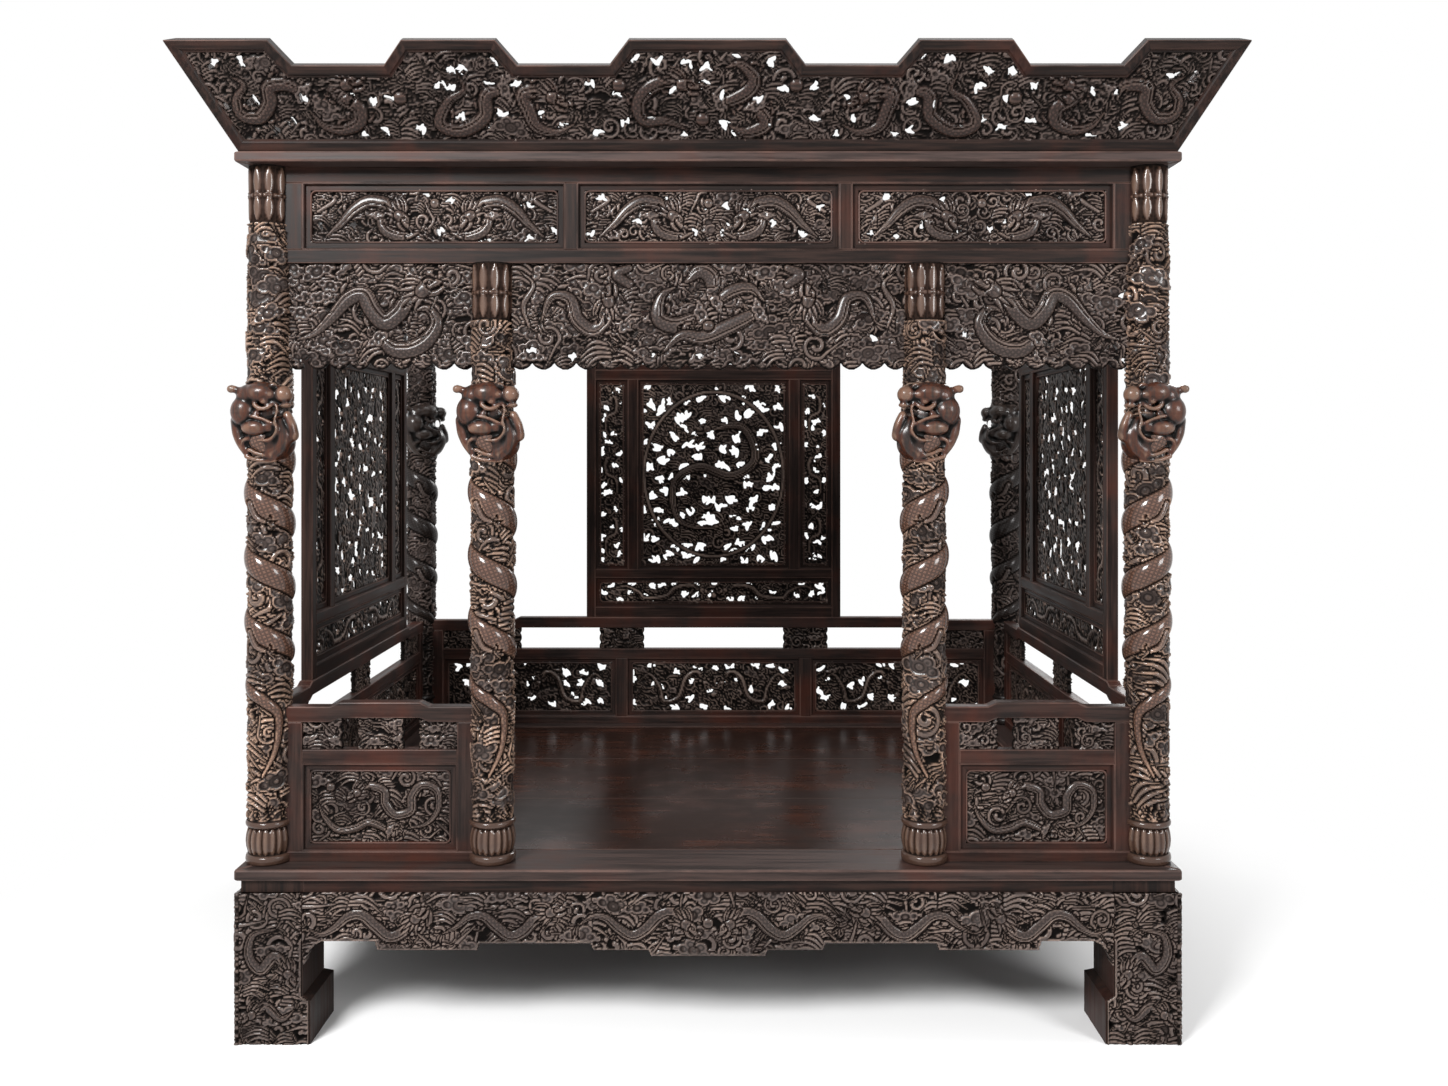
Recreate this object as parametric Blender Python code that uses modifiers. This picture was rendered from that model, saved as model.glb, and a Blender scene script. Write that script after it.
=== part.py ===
"""A six-post canopy bed in dark hardwood, built up from the legs to the crown."""

import math

import bmesh
import bpy
from mathutils import Matrix, Vector

# Plan, in metres: X runs left to right and the front faces -Y
POST_SPAN_X = 2.080  # between the axes of the corner posts
POST_SPAN_Y = 1.450  # from the front row of posts to the back row
DOOR_SPAN_X = 1.024  # between the axes of the two entrance posts
OVERHANG_X = 0.057  # edge of platform and cornice beyond the post axes, at the sides
OVERHANG_Y = 0.075  # the same at the front and the back
FIT = 0.0003  # clearance between pieces that touch

# Heights that stack up from the floor
DECK_HEIGHT = 0.405
PLATFORM_T = 0.026
WAIST_H = 0.029
POST_H = 1.639  # deck to the underside of the cornice
CORNICE_T = 0.024
CROWN_RISE = 0.218

# Base
LEG_W = 0.155
FOOT_W = 0.173
FOOT_H = 0.100
FOOT_FLARE_H = 0.012
WAIST_INSET = 0.013  # from the platform's edge to the waist band
APRON_INSET = 0.003  # from the platform's edge to the apron and the legs
APRON_T = 0.036
APRON_H = 0.111  # below the waist, where the apron is shallowest
APRON_CENTRE_DROP = 0.034
APRON_SHOULDER_DROP = 0.021
APRON_BRIDGE_DROP = 0.005
APRON_STEP_RUN = 0.006
APRON_EAR_GAP = 0.173  # from the leg to the outer lobe
APRON_EAR_W = 0.231
APRON_ARCH_W = 0.053
APRON_ARCH_H = 0.080
APRON_ARCH_STEPS = 6
LONG_CENTRE_HALF = 0.132  # half of the middle lobe, front and back
LONG_SHOULDER_HALF = 0.266
SHORT_CENTRE_HALF = 0.085  # the same on the two short sides
SHORT_SHOULDER_HALF = 0.165
TONGUE_L = 0.020
TONGUE_T = 0.014
TONGUE_H = 0.070
TONGUE_DROP = 0.018  # top of the apron's tongue below the waist

# Platform, deck and cornice
PLATFORM_W = 0.150
CORNICE_W = 0.140
DECK_BOARDS = 3
DECK_TONGUE_L = 0.010
DECK_TONGUE_T = 0.010
BEARERS = 2
BEARER_GAP = 0.760
BEARER_W = 0.060
BEARER_H = 0.045
BEARER_SOCKET = 0.012

# Posts
SHAFT_R = 0.050
CAPITAL_R = 0.0475
CAPITAL_UPPER_H = 0.066
CAPITAL_LOWER_H = 0.055
CAPITAL_TAPER = 0.004
BAND_R = 0.0485
BAND_H = 0.010
DRUM_R = 0.0525
DRUM_WAIST_R = 0.0495
DRUM_H = 0.064
RING_R = 0.054
LOWER_RING_H = 0.022
UPPER_RING_H = 0.016
RING_EDGE = 0.003
TENON_R = 0.011
TENON_L = 0.014
POST_SIDES = 12
HOUSING = 0.004  # how deep rails, friezes and valances are let into a post

# Dragon round each post
COIL_R = 0.037  # axis of the post to the middle of the body
COIL_TOP = 0.992  # above the deck
COIL_PITCH = 0.151
COIL_TURNS = 4
COIL_POINTS = 8  # in each turn
BODY_R = 0.021
TAIL_ROOT_R = 0.015
TAIL_R = 0.011
SLIM_FROM = 0.6  # share of the coil after which the body slims towards the tail
TAIL_DROP = 0.180
TAIL_POINTS = 4
HEAD_HEIGHT = 1.040  # middle of the head above the deck
BACK_POST_TURN = math.radians(40)  # the back dragons face the bed's middle
# Forms of the head: towards the bed's middle, to the front, up, and the three radii
HEAD_FORMS = {
    "skull": (-0.004, 0.036, 0.050, 0.050, 0.036, 0.036),
    "nose": (0.056, 0.050, 0.056, 0.024, 0.024, 0.023),
    "cheek": (-0.038, 0.036, 0.005, 0.032, 0.032, 0.048),
    "jaw": (0.046, 0.044, -0.040, 0.036, 0.032, 0.040),
    "throat": (0.002, 0.040, -0.048, 0.044, 0.036, 0.046),
}
HEAD_SIDES = 8
HEAD_RINGS = 5

# Railings
RAIL_T = 0.032
RAIL_STILE = 0.040
RAIL_MUNTIN = 0.038
RAIL_BOTTOM_H = 0.024
RAIL_WINDOW_H = 0.207
RAIL_MIDDLE_H = 0.033
RAIL_GAP_H = 0.065
RAIL_TOP_H = 0.037
RAIL_LIFT = 0.010  # how far the middle of the top rail is raised
RAIL_SLOPE = 0.021
FRONT_RAIL_END = 0.107  # length of the low ends of the top rail
BACK_RAIL_END = 0.290
SIDE_RAIL_END = 0.190
FRONT_BLOCK_W = 0.100
STRUT_W = 0.148
BLOCK_BULGE = 0.006
BLOCK_SHOULDER = 0.3  # share of the gap's height over which a block swells
PANEL_T = 0.014
GROOVE = 0.008

# Screens on the back and side railings
SCREEN_T = 0.030
BACK_SCREEN_W = 0.900
SIDE_SCREEN_W = 0.940
SCREEN_STILE = 0.030
SCREEN_STRIP_W = 0.117
SCREEN_MUNTIN = 0.034
SCREEN_BOTTOM_H = 0.035
SCREEN_STRIP_H = 0.106
SCREEN_MIDDLE_H = 0.028
SCREEN_MAIN_H = 0.675
SCREEN_UPPER_H = 0.032
SCREEN_TOP_H = 0.027
WEB_T = 0.012  # carved strips worked in one piece with their frame
WEB_LAP = 0.006

# Frieze and valance
FRIEZE_T = 0.036
FRIEZE_H = 0.227
FRIEZE_STILE = 0.043
FRIEZE_MUNTIN = 0.029
FRIEZE_TOP_H = 0.037
FRIEZE_BOTTOM_H = 0.032
VALANCE_T = 0.026
VALANCE_H = 0.250
VALANCE_SCALLOP = 0.012
VALANCE_LOBE = 0.090
LOBE_STEPS = 6

# Crown
CROWN_T = 0.026
CROWN_LEAN = 0.121  # how far its top reaches beyond its foot
CROWN_INSET = 0.008
CROWN_NOTCH = 0.055  # depth of the notches, along the slope
CROWN_CENTRE_HALF = 0.175
CROWN_RAISE = 0.209
CROWN_DIP = 0.207
CROWN_SLOPE = 0.045
CROWN_BORDER = 0.026  # width of the raised border
CROWN_FIELD_T = 0.012  # thickness of the carved field inside it

# Levels and reaches that follow from the sizes above
PLATFORM_BOTTOM = DECK_HEIGHT - PLATFORM_T
WAIST_BOTTOM = PLATFORM_BOTTOM - WAIST_H
CORNICE_BOTTOM = DECK_HEIGHT + POST_H
CORNICE_TOP = CORNICE_BOTTOM + CORNICE_T
FRIEZE_BOTTOM = CORNICE_BOTTOM - FRIEZE_H
RAIL_H = RAIL_BOTTOM_H + RAIL_WINDOW_H + RAIL_MIDDLE_H + RAIL_GAP_H + RAIL_TOP_H
SCREEN_BOTTOM = DECK_HEIGHT + RAIL_H + RAIL_LIFT
# The crown leans out at the front only, so the posts stand behind the middle of the bed's outline
CENTRE_Y = (CROWN_LEAN - CROWN_INSET) / 2

SIDE_ANGLES = {"front": 0, "right": math.pi / 2, "back": math.pi, "left": -math.pi / 2}
LONG_SIDES = ("front", "back")
SPREAD = 0.200  # how far a cutter reaches past what it cuts
TRIM_BLOCK = 1.000  # side of the block that trims the crown's ends
WELD = 1e-5  # points closer than this are one

WOOD_COLOUR = (0.028, 0.014, 0.009, 1)
DECK_COLOUR = (0.040, 0.018, 0.011, 1)
WOOD_ROUGHNESS = 0.42
DECK_ROUGHNESS = 0.26


def clear_scene():
    for obj in list(bpy.data.objects):
        bpy.data.objects.remove(obj, do_unlink=True)


def new_collection(name):
    collection = bpy.data.collections.new(name)
    bpy.context.scene.collection.children.link(collection)
    return collection


def wood(name, colour, roughness):
    material = bpy.data.materials.new(name)
    material.use_nodes = True
    shader = material.node_tree.nodes["Principled BSDF"]
    shader.inputs["Base Color"].default_value = colour
    shader.inputs["Roughness"].default_value = roughness
    shader.inputs["Metallic"].default_value = 0
    return material


clear_scene()
PARTS = new_collection("alcove_bed")
CUTTERS = new_collection("alcove_bed_cutters")
CARVED_WOOD = wood("carved_hardwood", WOOD_COLOUR, WOOD_ROUGHNESS)
DECK_WOOD = wood("deck_hardwood", DECK_COLOUR, DECK_ROUGHNESS)
ORIGIN = bpy.data.objects.new("bed_origin", None)
PARTS.objects.link(ORIGIN)


def finished(bm, name):
    """The bmesh as a mesh whose faces point out."""
    bmesh.ops.remove_doubles(bm, verts=bm.verts, dist=WELD)
    bmesh.ops.recalc_face_normals(bm, faces=bm.faces)
    mesh = bpy.data.meshes.new(name)
    bm.to_mesh(mesh)
    bm.free()
    return mesh


def box_mesh(name, size):
    bm = bmesh.new()
    bmesh.ops.create_cube(bm, size=1, matrix=Matrix.Diagonal((*size, 1)))
    return finished(bm, name)


def curve_mesh(name, curve):
    """A curve object turned into a closed mesh, so that it can be cut and joined."""
    drawn = bpy.data.objects.new(name + "_curve", curve)
    PARTS.objects.link(drawn)
    graph = bpy.context.evaluated_depsgraph_get()
    traced = bpy.data.meshes.new_from_object(drawn.evaluated_get(graph))
    bpy.data.objects.remove(drawn)
    bm = bmesh.new()
    bm.from_mesh(traced)
    bmesh.ops.remove_doubles(bm, verts=bm.verts, dist=WELD)
    bmesh.ops.holes_fill(bm, edges=bm.edges)
    return finished(bm, name)


def outline_mesh(name, outlines, thickness):
    """Flat outlines that lie side by side, each as a board about the local XY plane.

    The curve draws the edges of the boards; each face is then one polygon, which cuts cleanly."""
    curve = bpy.data.curves.new(name, "CURVE")
    curve.dimensions = "2D"
    curve.fill_mode = "NONE"
    curve.extrude = thickness / 2
    for outline in outlines:
        spline = curve.splines.new("POLY")
        spline.points.add(len(outline) - 1)
        for point, (x, y) in zip(spline.points, outline):
            point.co = (x, y, 0, 1)
        spline.use_cyclic_u = True
    return curve_mesh(name, curve)


def part(name, mesh, location=(0, 0, 0), rotation=(0, 0, 0), material=CARVED_WOOD, parent=ORIGIN):
    obj = bpy.data.objects.new(name, mesh)
    obj.location = location
    obj.rotation_euler = rotation
    obj.parent = parent
    mesh.materials.append(material)
    PARTS.objects.link(obj)
    return obj


def cutter(name, mesh, location=(0, 0, 0), rotation=(0, 0, 0), parent=ORIGIN):
    obj = bpy.data.objects.new(name, mesh)
    obj.location = location
    obj.rotation_euler = rotation
    obj.parent = parent
    obj.hide_render = True
    obj.display_type = "WIRE"
    CUTTERS.objects.link(obj)
    return obj


def combine(target, tools, operation):
    for tool in tools:
        modifier = target.modifiers.new(f"{operation.lower()} {tool.name}", "BOOLEAN")
        modifier.operation = operation
        modifier.solver = "EXACT"
        modifier.object = tool


def directions(side):
    """Left to right as seen from outside that side, and straight out of it."""
    angle = SIDE_ANGLES[side]
    along = Vector((math.cos(angle), math.sin(angle), 0))
    outward = Vector((math.sin(angle), -math.cos(angle), 0))
    return along, outward


def side_point(side, along_by, out_by, up):
    along, outward = directions(side)
    return Vector((0, CENTRE_Y, up)) + along * along_by + outward * out_by


def upright(side, lean=0):
    """Rotation that stands a board up on a side, its local Z facing out."""
    return (math.pi / 2 + lean, 0, SIDE_ANGLES[side])


def post_line(side):
    """From the bed's middle to the line of posts on that side."""
    return (POST_SPAN_Y if side in LONG_SIDES else POST_SPAN_X) / 2


def post_reach(side):
    """Half of the distance between the corner posts along that side."""
    return (POST_SPAN_X if side in LONG_SIDES else POST_SPAN_Y) / 2


def edge_out(side):
    return post_line(side) + (OVERHANG_Y if side in LONG_SIDES else OVERHANG_X)


def edge_reach(side):
    return post_reach(side) + (OVERHANG_X if side in LONG_SIDES else OVERHANG_Y)


def seat(thickness):
    """From a post's axis to the end of a board that is let into it."""
    return math.sqrt(CAPITAL_R**2 - (thickness / 2) ** 2) - HOUSING


def rectangle(x0, y0, x1, y1):
    return [(x0, y0), (x1, y0), (x1, y1), (x0, y1)]


def mirrored(right_half):
    """An outline from its right half, which runs from the bottom centre line to the top."""
    return right_half + [(-x, y) for x, y in reversed(right_half)]


# Base
def apron_lower_edge(half, centre_half, shoulder_half):
    """Right half of the apron's lower edge, from the middle lobe out to the leg."""
    arch = WAIST_BOTTOM - APRON_H
    ear_out = half - APRON_EAR_GAP
    ear_in = ear_out - APRON_EAR_W
    lobe = arch - APRON_CENTRE_DROP
    shoulder = arch - APRON_SHOULDER_DROP
    bridge = arch - APRON_BRIDGE_DROP
    edge = [
        (centre_half, lobe),
        (centre_half + APRON_STEP_RUN, shoulder),
        (shoulder_half, shoulder),
        (shoulder_half + APRON_STEP_RUN, bridge),
        (ear_in - APRON_STEP_RUN, bridge),
        (ear_in, shoulder),
        (ear_out, shoulder),
        (ear_out + APRON_STEP_RUN, arch),
    ]
    for step in range(APRON_ARCH_STEPS + 1):
        turn = math.pi / 2 * step / APRON_ARCH_STEPS
        run = APRON_ARCH_W * math.sin(turn)
        drop = APRON_ARCH_H * (1 - math.cos(turn))
        edge.append((half - APRON_ARCH_W + run, arch - drop))
    return edge


def apron_half(side):
    return edge_reach(side) - APRON_INSET - LEG_W - FIT


def apron_tongue(side, clearance):
    """The tongue along the back of an apron whose ends enter the legs."""
    length = 2 * (apron_half(side) + TONGUE_L + clearance)
    size = (length, TONGUE_H + 2 * clearance, TONGUE_T + 2 * clearance)
    place = side_point(
        side, 0, edge_out(side) - APRON_INSET - APRON_T / 2, WAIST_BOTTOM - TONGUE_DROP - TONGUE_H / 2
    )
    name = f"apron_{side}_tongue" if clearance == 0 else f"apron_{side}_mortise"
    return cutter(name, box_mesh(name, size), place, upright(side))


def bearer_places():
    return [(index - (BEARERS - 1) / 2) * BEARER_GAP for index in range(BEARERS)]


def bearer_box(name, x, clearance):
    """Size and place of a bearer whose ends enter the front and back aprons."""
    length = 2 * (edge_out("front") - APRON_INSET - APRON_T + BEARER_SOCKET + clearance - FIT)
    size = (BEARER_W + 2 * clearance, length, BEARER_H + 2 * clearance)
    place = (x, CENTRE_Y, PLATFORM_BOTTOM - FIT - BEARER_H / 2)
    return box_mesh(name, size), place


def build_aprons():
    for side in SIDE_ANGLES:
        half = apron_half(side)
        if side in LONG_SIDES:
            lower = apron_lower_edge(half, LONG_CENTRE_HALF, LONG_SHOULDER_HALF)
        else:
            lower = apron_lower_edge(half, SHORT_CENTRE_HALF, SHORT_SHOULDER_HALF)
        outline = mirrored(lower + [(half, WAIST_BOTTOM)])
        front = edge_out(side) - APRON_INSET
        apron = part(
            f"apron_{side}",
            outline_mesh(f"apron_{side}", [outline], APRON_T),
            side_point(side, 0, front - APRON_T / 2, 0),
            upright(side),
        )
        waist_t = APRON_T + APRON_INSET - WAIST_INSET - 2 * FIT
        waist_h = WAIST_H + TONGUE_DROP / 2
        waist = cutter(
            f"waist_{side}",
            box_mesh(f"waist_{side}", (2 * (half - FIT), waist_h, waist_t)),
            side_point(
                side, 0, edge_out(side) - WAIST_INSET - waist_t / 2, PLATFORM_BOTTOM - FIT - waist_h / 2
            ),
            upright(side),
        )
        combine(apron, [waist, apron_tongue(side, 0)], "UNION")
        if side in LONG_SIDES:
            sockets = []
            for index, x in enumerate(bearer_places()):
                name = f"apron_{side}_socket_{index + 1}"
                sockets.append(cutter(name, *bearer_box(name, x, FIT)))
            combine(apron, sockets, "DIFFERENCE")


def leg_profile(reach, sign):
    """A leg seen square on: its outer face at that reach, its foot flaring towards the bed's middle."""
    waist_step = WAIST_INSET - APRON_INSET
    steps = [
        (0, 0),
        (FOOT_W, 0),
        (FOOT_W, FOOT_H),
        (LEG_W, FOOT_H + FOOT_FLARE_H),
        (LEG_W, PLATFORM_BOTTOM - FIT),
        (waist_step, PLATFORM_BOTTOM - FIT),
        (waist_step, WAIST_BOTTOM),
        (0, WAIST_BOTTOM),
    ]
    return [(sign * (reach - inward), z) for inward, z in steps]


def build_legs():
    mortises = [apron_tongue(side, FIT) for side in SIDE_ANGLES]
    depth = FOOT_W + SPREAD
    for y_sign, row in ((-1, "front"), (1, "back")):
        for x_sign, hand in ((-1, "left"), (1, "right")):
            name = f"leg_{row}_{hand}"
            reach_x = edge_reach("front") - APRON_INSET
            reach_y = edge_reach("left") - APRON_INSET
            leg = part(
                name,
                outline_mesh(name, [leg_profile(reach_x, x_sign)], depth),
                (0, CENTRE_Y + y_sign * (reach_y - FOOT_W / 2), 0),
                upright("front"),
            )
            side_view = cutter(
                f"{name}_side_view",
                outline_mesh(f"{name}_side_view", [leg_profile(reach_y, y_sign)], depth),
                (x_sign * (reach_x - FOOT_W / 2), CENTRE_Y, 0),
                upright("right"),
            )
            combine(leg, [side_view], "INTERSECT")
            near = [tool for tool in mortises if row in tool.name or hand in tool.name]
            combine(leg, near, "DIFFERENCE")


# Platform, deck and cornice
def mitred_member(name, side, width, thickness, bottom):
    """One member of a flat frame, its ends cut at 45 degrees."""
    reach = edge_reach(side) - FIT
    out = edge_out(side)
    outline = [(-reach, 0), (reach, 0), (reach - width, width), (width - reach, width)]
    return part(
        name,
        outline_mesh(name, [outline], thickness),
        side_point(side, 0, out, bottom + thickness / 2),
        (0, 0, SIDE_ANGLES[side]),
    )


def deck_opening():
    return edge_reach("front") - PLATFORM_W, edge_out("front") - PLATFORM_W


def tongue_level():
    return DECK_HEIGHT - PLATFORM_T / 2


def build_platform(mortises):
    half_x, half_y = deck_opening()
    groove_size = (
        2 * (half_x + DECK_TONGUE_L),
        2 * (half_y + DECK_TONGUE_L),
        DECK_TONGUE_T + 2 * FIT,
    )
    groove = cutter("deck_groove", box_mesh("deck_groove", groove_size), (0, CENTRE_Y, tongue_level()))
    for side in SIDE_ANGLES:
        member = mitred_member(f"platform_{side}", side, PLATFORM_W, PLATFORM_T, PLATFORM_BOTTOM)
        near = [tool for name, tool in mortises.items() if side in name or "door" in name and side == "front"]
        combine(member, [groove] + near, "DIFFERENCE")


def build_deck():
    half_x, half_y = deck_opening()
    pitch = 2 * half_y / DECK_BOARDS
    thickness = PLATFORM_T - FIT
    reach = DECK_TONGUE_L - FIT
    for index in range(DECK_BOARDS):
        name = f"deck_board_{index + 1}"
        y = CENTRE_Y - half_y + (index + 0.5) * pitch
        board = part(
            name,
            box_mesh(name, (2 * (half_x - FIT), pitch - 2 * FIT, thickness)),
            (0, y, DECK_HEIGHT - PLATFORM_T / 2),
            material=DECK_WOOD,
        )
        front = reach if index == 0 else -2 * FIT
        back = reach if index == DECK_BOARDS - 1 else -2 * FIT
        tongue = cutter(
            f"{name}_tongue",
            box_mesh(f"{name}_tongue", (2 * (half_x + reach), pitch + front + back, DECK_TONGUE_T)),
            (0, y + (back - front) / 2, tongue_level()),
        )
        combine(board, [tongue], "UNION")
    for index, x in enumerate(bearer_places()):
        name = f"deck_bearer_{index + 1}"
        part(name, *bearer_box(name, x, 0))


def build_cornice(mortises):
    for side in SIDE_ANGLES:
        member = mitred_member(f"cornice_{side}", side, CORNICE_W, CORNICE_T, CORNICE_BOTTOM)
        near = [tool for name, tool in mortises.items() if side in name]
        combine(member, near, "DIFFERENCE")


# Posts
def post_places():
    """Name, X, Y and the direction that its dragon faces, for each post."""
    front = CENTRE_Y - POST_SPAN_Y / 2
    back = CENTRE_Y + POST_SPAN_Y / 2
    ahead = -math.pi / 2
    return {
        "front_left": (-POST_SPAN_X / 2, front, ahead),
        "door_left": (-DOOR_SPAN_X / 2, front, ahead),
        "door_right": (DOOR_SPAN_X / 2, front, ahead),
        "front_right": (POST_SPAN_X / 2, front, ahead),
        "back_left": (-POST_SPAN_X / 2, back, ahead + BACK_POST_TURN),
        "back_right": (POST_SPAN_X / 2, back, ahead - BACK_POST_TURN),
    }


def post_height(name):
    return (POST_H - FRIEZE_H if "door" in name else POST_H) - FIT


def post_profile(height):
    """Radius and height of a post's outline, from the top tenon down to the lower one."""
    band_top = height - CAPITAL_UPPER_H
    band_bottom = band_top - BAND_H
    capital_bottom = band_bottom - CAPITAL_LOWER_H
    drum_bottom = FIT + LOWER_RING_H
    drum_top = drum_bottom + DRUM_H
    ring_top = drum_top + UPPER_RING_H
    return [
        (0, height + TENON_L),
        (TENON_R, height + TENON_L),
        (TENON_R, height),
        (CAPITAL_R, height),
        (CAPITAL_R - CAPITAL_TAPER, band_top),
        (BAND_R, band_top),
        (BAND_R, band_bottom),
        (CAPITAL_R, band_bottom - RING_EDGE),
        (CAPITAL_R - CAPITAL_TAPER, capital_bottom),
        (SHAFT_R, capital_bottom - RING_EDGE),
        (SHAFT_R, ring_top),
        (RING_R, ring_top - RING_EDGE),
        (RING_R, drum_top + RING_EDGE),
        (DRUM_WAIST_R, drum_top),
        (DRUM_R, drum_bottom + DRUM_H / 2),
        (DRUM_WAIST_R, drum_bottom),
        (RING_R, drum_bottom - RING_EDGE),
        (RING_R, FIT),
        (TENON_R, FIT),
        (TENON_R, -TENON_L),
        (0, -TENON_L),
    ]


def profile_mesh(name, profile):
    mesh = bpy.data.meshes.new(name)
    points = [(radius, 0, z) for radius, z in profile]
    mesh.from_pydata(points, [(i, i + 1) for i in range(len(points) - 1)], [])
    return mesh


def coil_points(hand):
    """Middle line and thickness of the dragon's body, from its neck down to its tail."""
    points = []
    steps = COIL_TURNS * COIL_POINTS
    for step in range(steps + 1):
        turn = hand * math.tau * step / COIL_POINTS
        z = COIL_TOP - COIL_PITCH * step / COIL_POINTS
        slimmer = max(0, step / steps - SLIM_FROM) / (1 - SLIM_FROM)
        radius = BODY_R + (TAIL_ROOT_R - BODY_R) * slimmer
        points.append((COIL_R * math.cos(turn), COIL_R * math.sin(turn), z, radius))
    tail_top = points[-1][2]
    tail_from = points[-1][3]
    for step in range(1, TAIL_POINTS + 1):
        share = step / TAIL_POINTS
        radius = tail_from + (TAIL_R - tail_from) * share
        points.append((SHAFT_R - TAIL_R / 2, 0, tail_top - TAIL_DROP * share, radius))
    return points


def coil_mesh(name, hand):
    curve = bpy.data.curves.new(name, "CURVE")
    curve.dimensions = "3D"
    curve.bevel_depth = 1
    curve.bevel_resolution = 1
    curve.use_fill_caps = True
    points = coil_points(hand)
    spline = curve.splines.new("POLY")
    spline.points.add(len(points) - 1)
    for point, (x, y, z, radius) in zip(spline.points, points):
        point.co = (x, y, z, 1)
        point.radius = radius
    return curve_mesh(name, curve)


def head_meshes(name, hand):
    """The dragon's head as a few swellings; local X is the way it faces and hand is +1 on the left posts."""
    for form, (to_middle, ahead, up, *radii) in HEAD_FORMS.items():
        middle_r, ahead_r, up_r = radii
        place = Matrix.Translation((ahead, hand * to_middle, HEAD_HEIGHT + up))
        bm = bmesh.new()
        bmesh.ops.create_uvsphere(
            bm,
            u_segments=HEAD_SIDES,
            v_segments=HEAD_RINGS,
            radius=1,
            matrix=place @ Matrix.Diagonal((ahead_r, middle_r, up_r, 1)),
        )
        yield f"{name}_{form}", finished(bm, f"{name}_{form}")


def housing(name, post, direction, thickness, bottom, top):
    """The slot in a post that takes the end of a rail, frieze or valance."""
    x, y, _ = post_places()[post]
    start = seat(thickness) - FIT
    middle = Vector((x, y, (bottom + top) / 2)) + direction * (start + SPREAD / 2)
    size = (SPREAD, thickness + 2 * FIT, top - bottom + 2 * FIT)
    angle = math.atan2(direction.y, direction.x)
    return cutter(name, box_mesh(name, size), middle, (0, 0, angle))


def post_housings(post):
    """Slots for everything that meets this post, named after what enters."""
    right = Vector((1, 0, 0))
    back = Vector((0, 1, 0))
    inward = right if "left" in post else -right
    rail = (RAIL_T, DECK_HEIGHT, DECK_HEIGHT + RAIL_H)
    frieze = (FRIEZE_T, FRIEZE_BOTTOM, CORNICE_BOTTOM)
    valance = (VALANCE_T, FRIEZE_BOTTOM - VALANCE_H, FRIEZE_BOTTOM)
    if "door" in post:
        entering = [
            ("rail", -inward, rail),
            ("valance_outer", -inward, valance),
            ("valance_inner", inward, valance),
        ]
    else:
        depth = back if "front" in post else -back
        entering = [
            ("rail", inward, rail),
            ("side_rail", depth, rail),
            ("frieze", inward, frieze),
            ("side_frieze", depth, frieze),
        ]
        if "front" in post:
            entering.append(("valance", inward, valance))
    return [housing(f"{post}_{what}_slot", post, way, *sizes) for what, way, sizes in entering]


def build_posts():
    for name, (x, y, facing) in post_places().items():
        hand = 1 if "left" in name else -1
        node = f"post_{name}"
        place = (x, y, DECK_HEIGHT)
        mesh = profile_mesh(node, post_profile(post_height(name)))
        post = part(node, mesh, place, (0, 0, facing))
        turned = post.modifiers.new("turned", "SCREW")
        turned.steps = POST_SIDES
        turned.render_steps = POST_SIDES
        turned.use_merge_vertices = True
        turned.merge_threshold = WELD
        turned.use_smooth_shade = True
        coil = cutter(f"{node}_coil", coil_mesh(f"{node}_coil", hand), place, (0, 0, facing))
        forms = [coil]
        for form_name, form in head_meshes(node, hand):
            forms.append(cutter(form_name, form, place, (0, 0, facing)))
        combine(post, forms, "UNION")
        combine(post, post_housings(name), "DIFFERENCE")


def post_mortises(level, depth, names):
    """Round holes for the tenons of these posts, from that level to that depth past it."""
    holes = {}
    low, high = sorted((level - math.copysign(SPREAD, depth), level + depth))
    for name in names:
        x, y, _ = post_places()[name]
        bm = bmesh.new()
        radius = (TENON_R + FIT) / math.cos(math.pi / POST_SIDES)
        bmesh.ops.create_cone(
            bm, cap_ends=True, segments=POST_SIDES, radius1=radius, radius2=radius, depth=high - low
        )
        label = f"{name}_mortise_{'lower' if depth < 0 else 'upper'}"
        holes[name] = cutter(label, finished(bm, label), (x, y, (low + high) / 2))
    return holes


# Framed boards
def framed_board(name, outline, openings, thickness, place, side):
    """A board with openings cut through it, stood up on a side of the bed."""
    frame = part(name, outline_mesh(name, [outline], thickness), place, upright(side))
    holes = f"{name}_openings"
    opening = cutter(holes, outline_mesh(holes, openings, thickness + SPREAD), parent=frame)
    combine(frame, [opening], "DIFFERENCE")
    return frame


def panel_windows(length, stile, muntin, count, low, high):
    """Equal windows side by side in a frame of that length."""
    width = (length - 2 * stile - (count - 1) * muntin) / count
    lefts = [-length / 2 + stile + index * (width + muntin) for index in range(count)]
    return [(left, low, left + width, high) for left in lefts]


def fit_panel(name, frame, window):
    """A panel whose edges sit in a groove all round a window of its frame."""
    x0, y0, x1, y1 = window
    middle = ((x0 + x1) / 2, (y0 + y1) / 2, 0)
    width = x1 - x0 + 2 * GROOVE
    height = y1 - y0 + 2 * GROOVE
    slot = f"{name}_groove"
    groove = cutter(slot, box_mesh(slot, (width, height, PANEL_T + 2 * FIT)), middle, parent=frame)
    combine(frame, [groove], "DIFFERENCE")
    size = (width - 2 * FIT, height - 2 * FIT, PANEL_T)
    part(name, box_mesh(name, size), middle, parent=frame)


def carve_web(frame, windows):
    """Thin carved strips worked in one piece with their frame."""
    webs = []
    for index, (x0, y0, x1, y1) in enumerate(windows):
        name = f"{frame.name}_web_{index + 1}"
        size = (x1 - x0 + 2 * WEB_LAP, y1 - y0 + 2 * WEB_LAP, WEB_T)
        webs.append(cutter(name, box_mesh(name, size), ((x0 + x1) / 2, (y0 + y1) / 2, 0), parent=frame))
    combine(frame, webs, "UNION")


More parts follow.
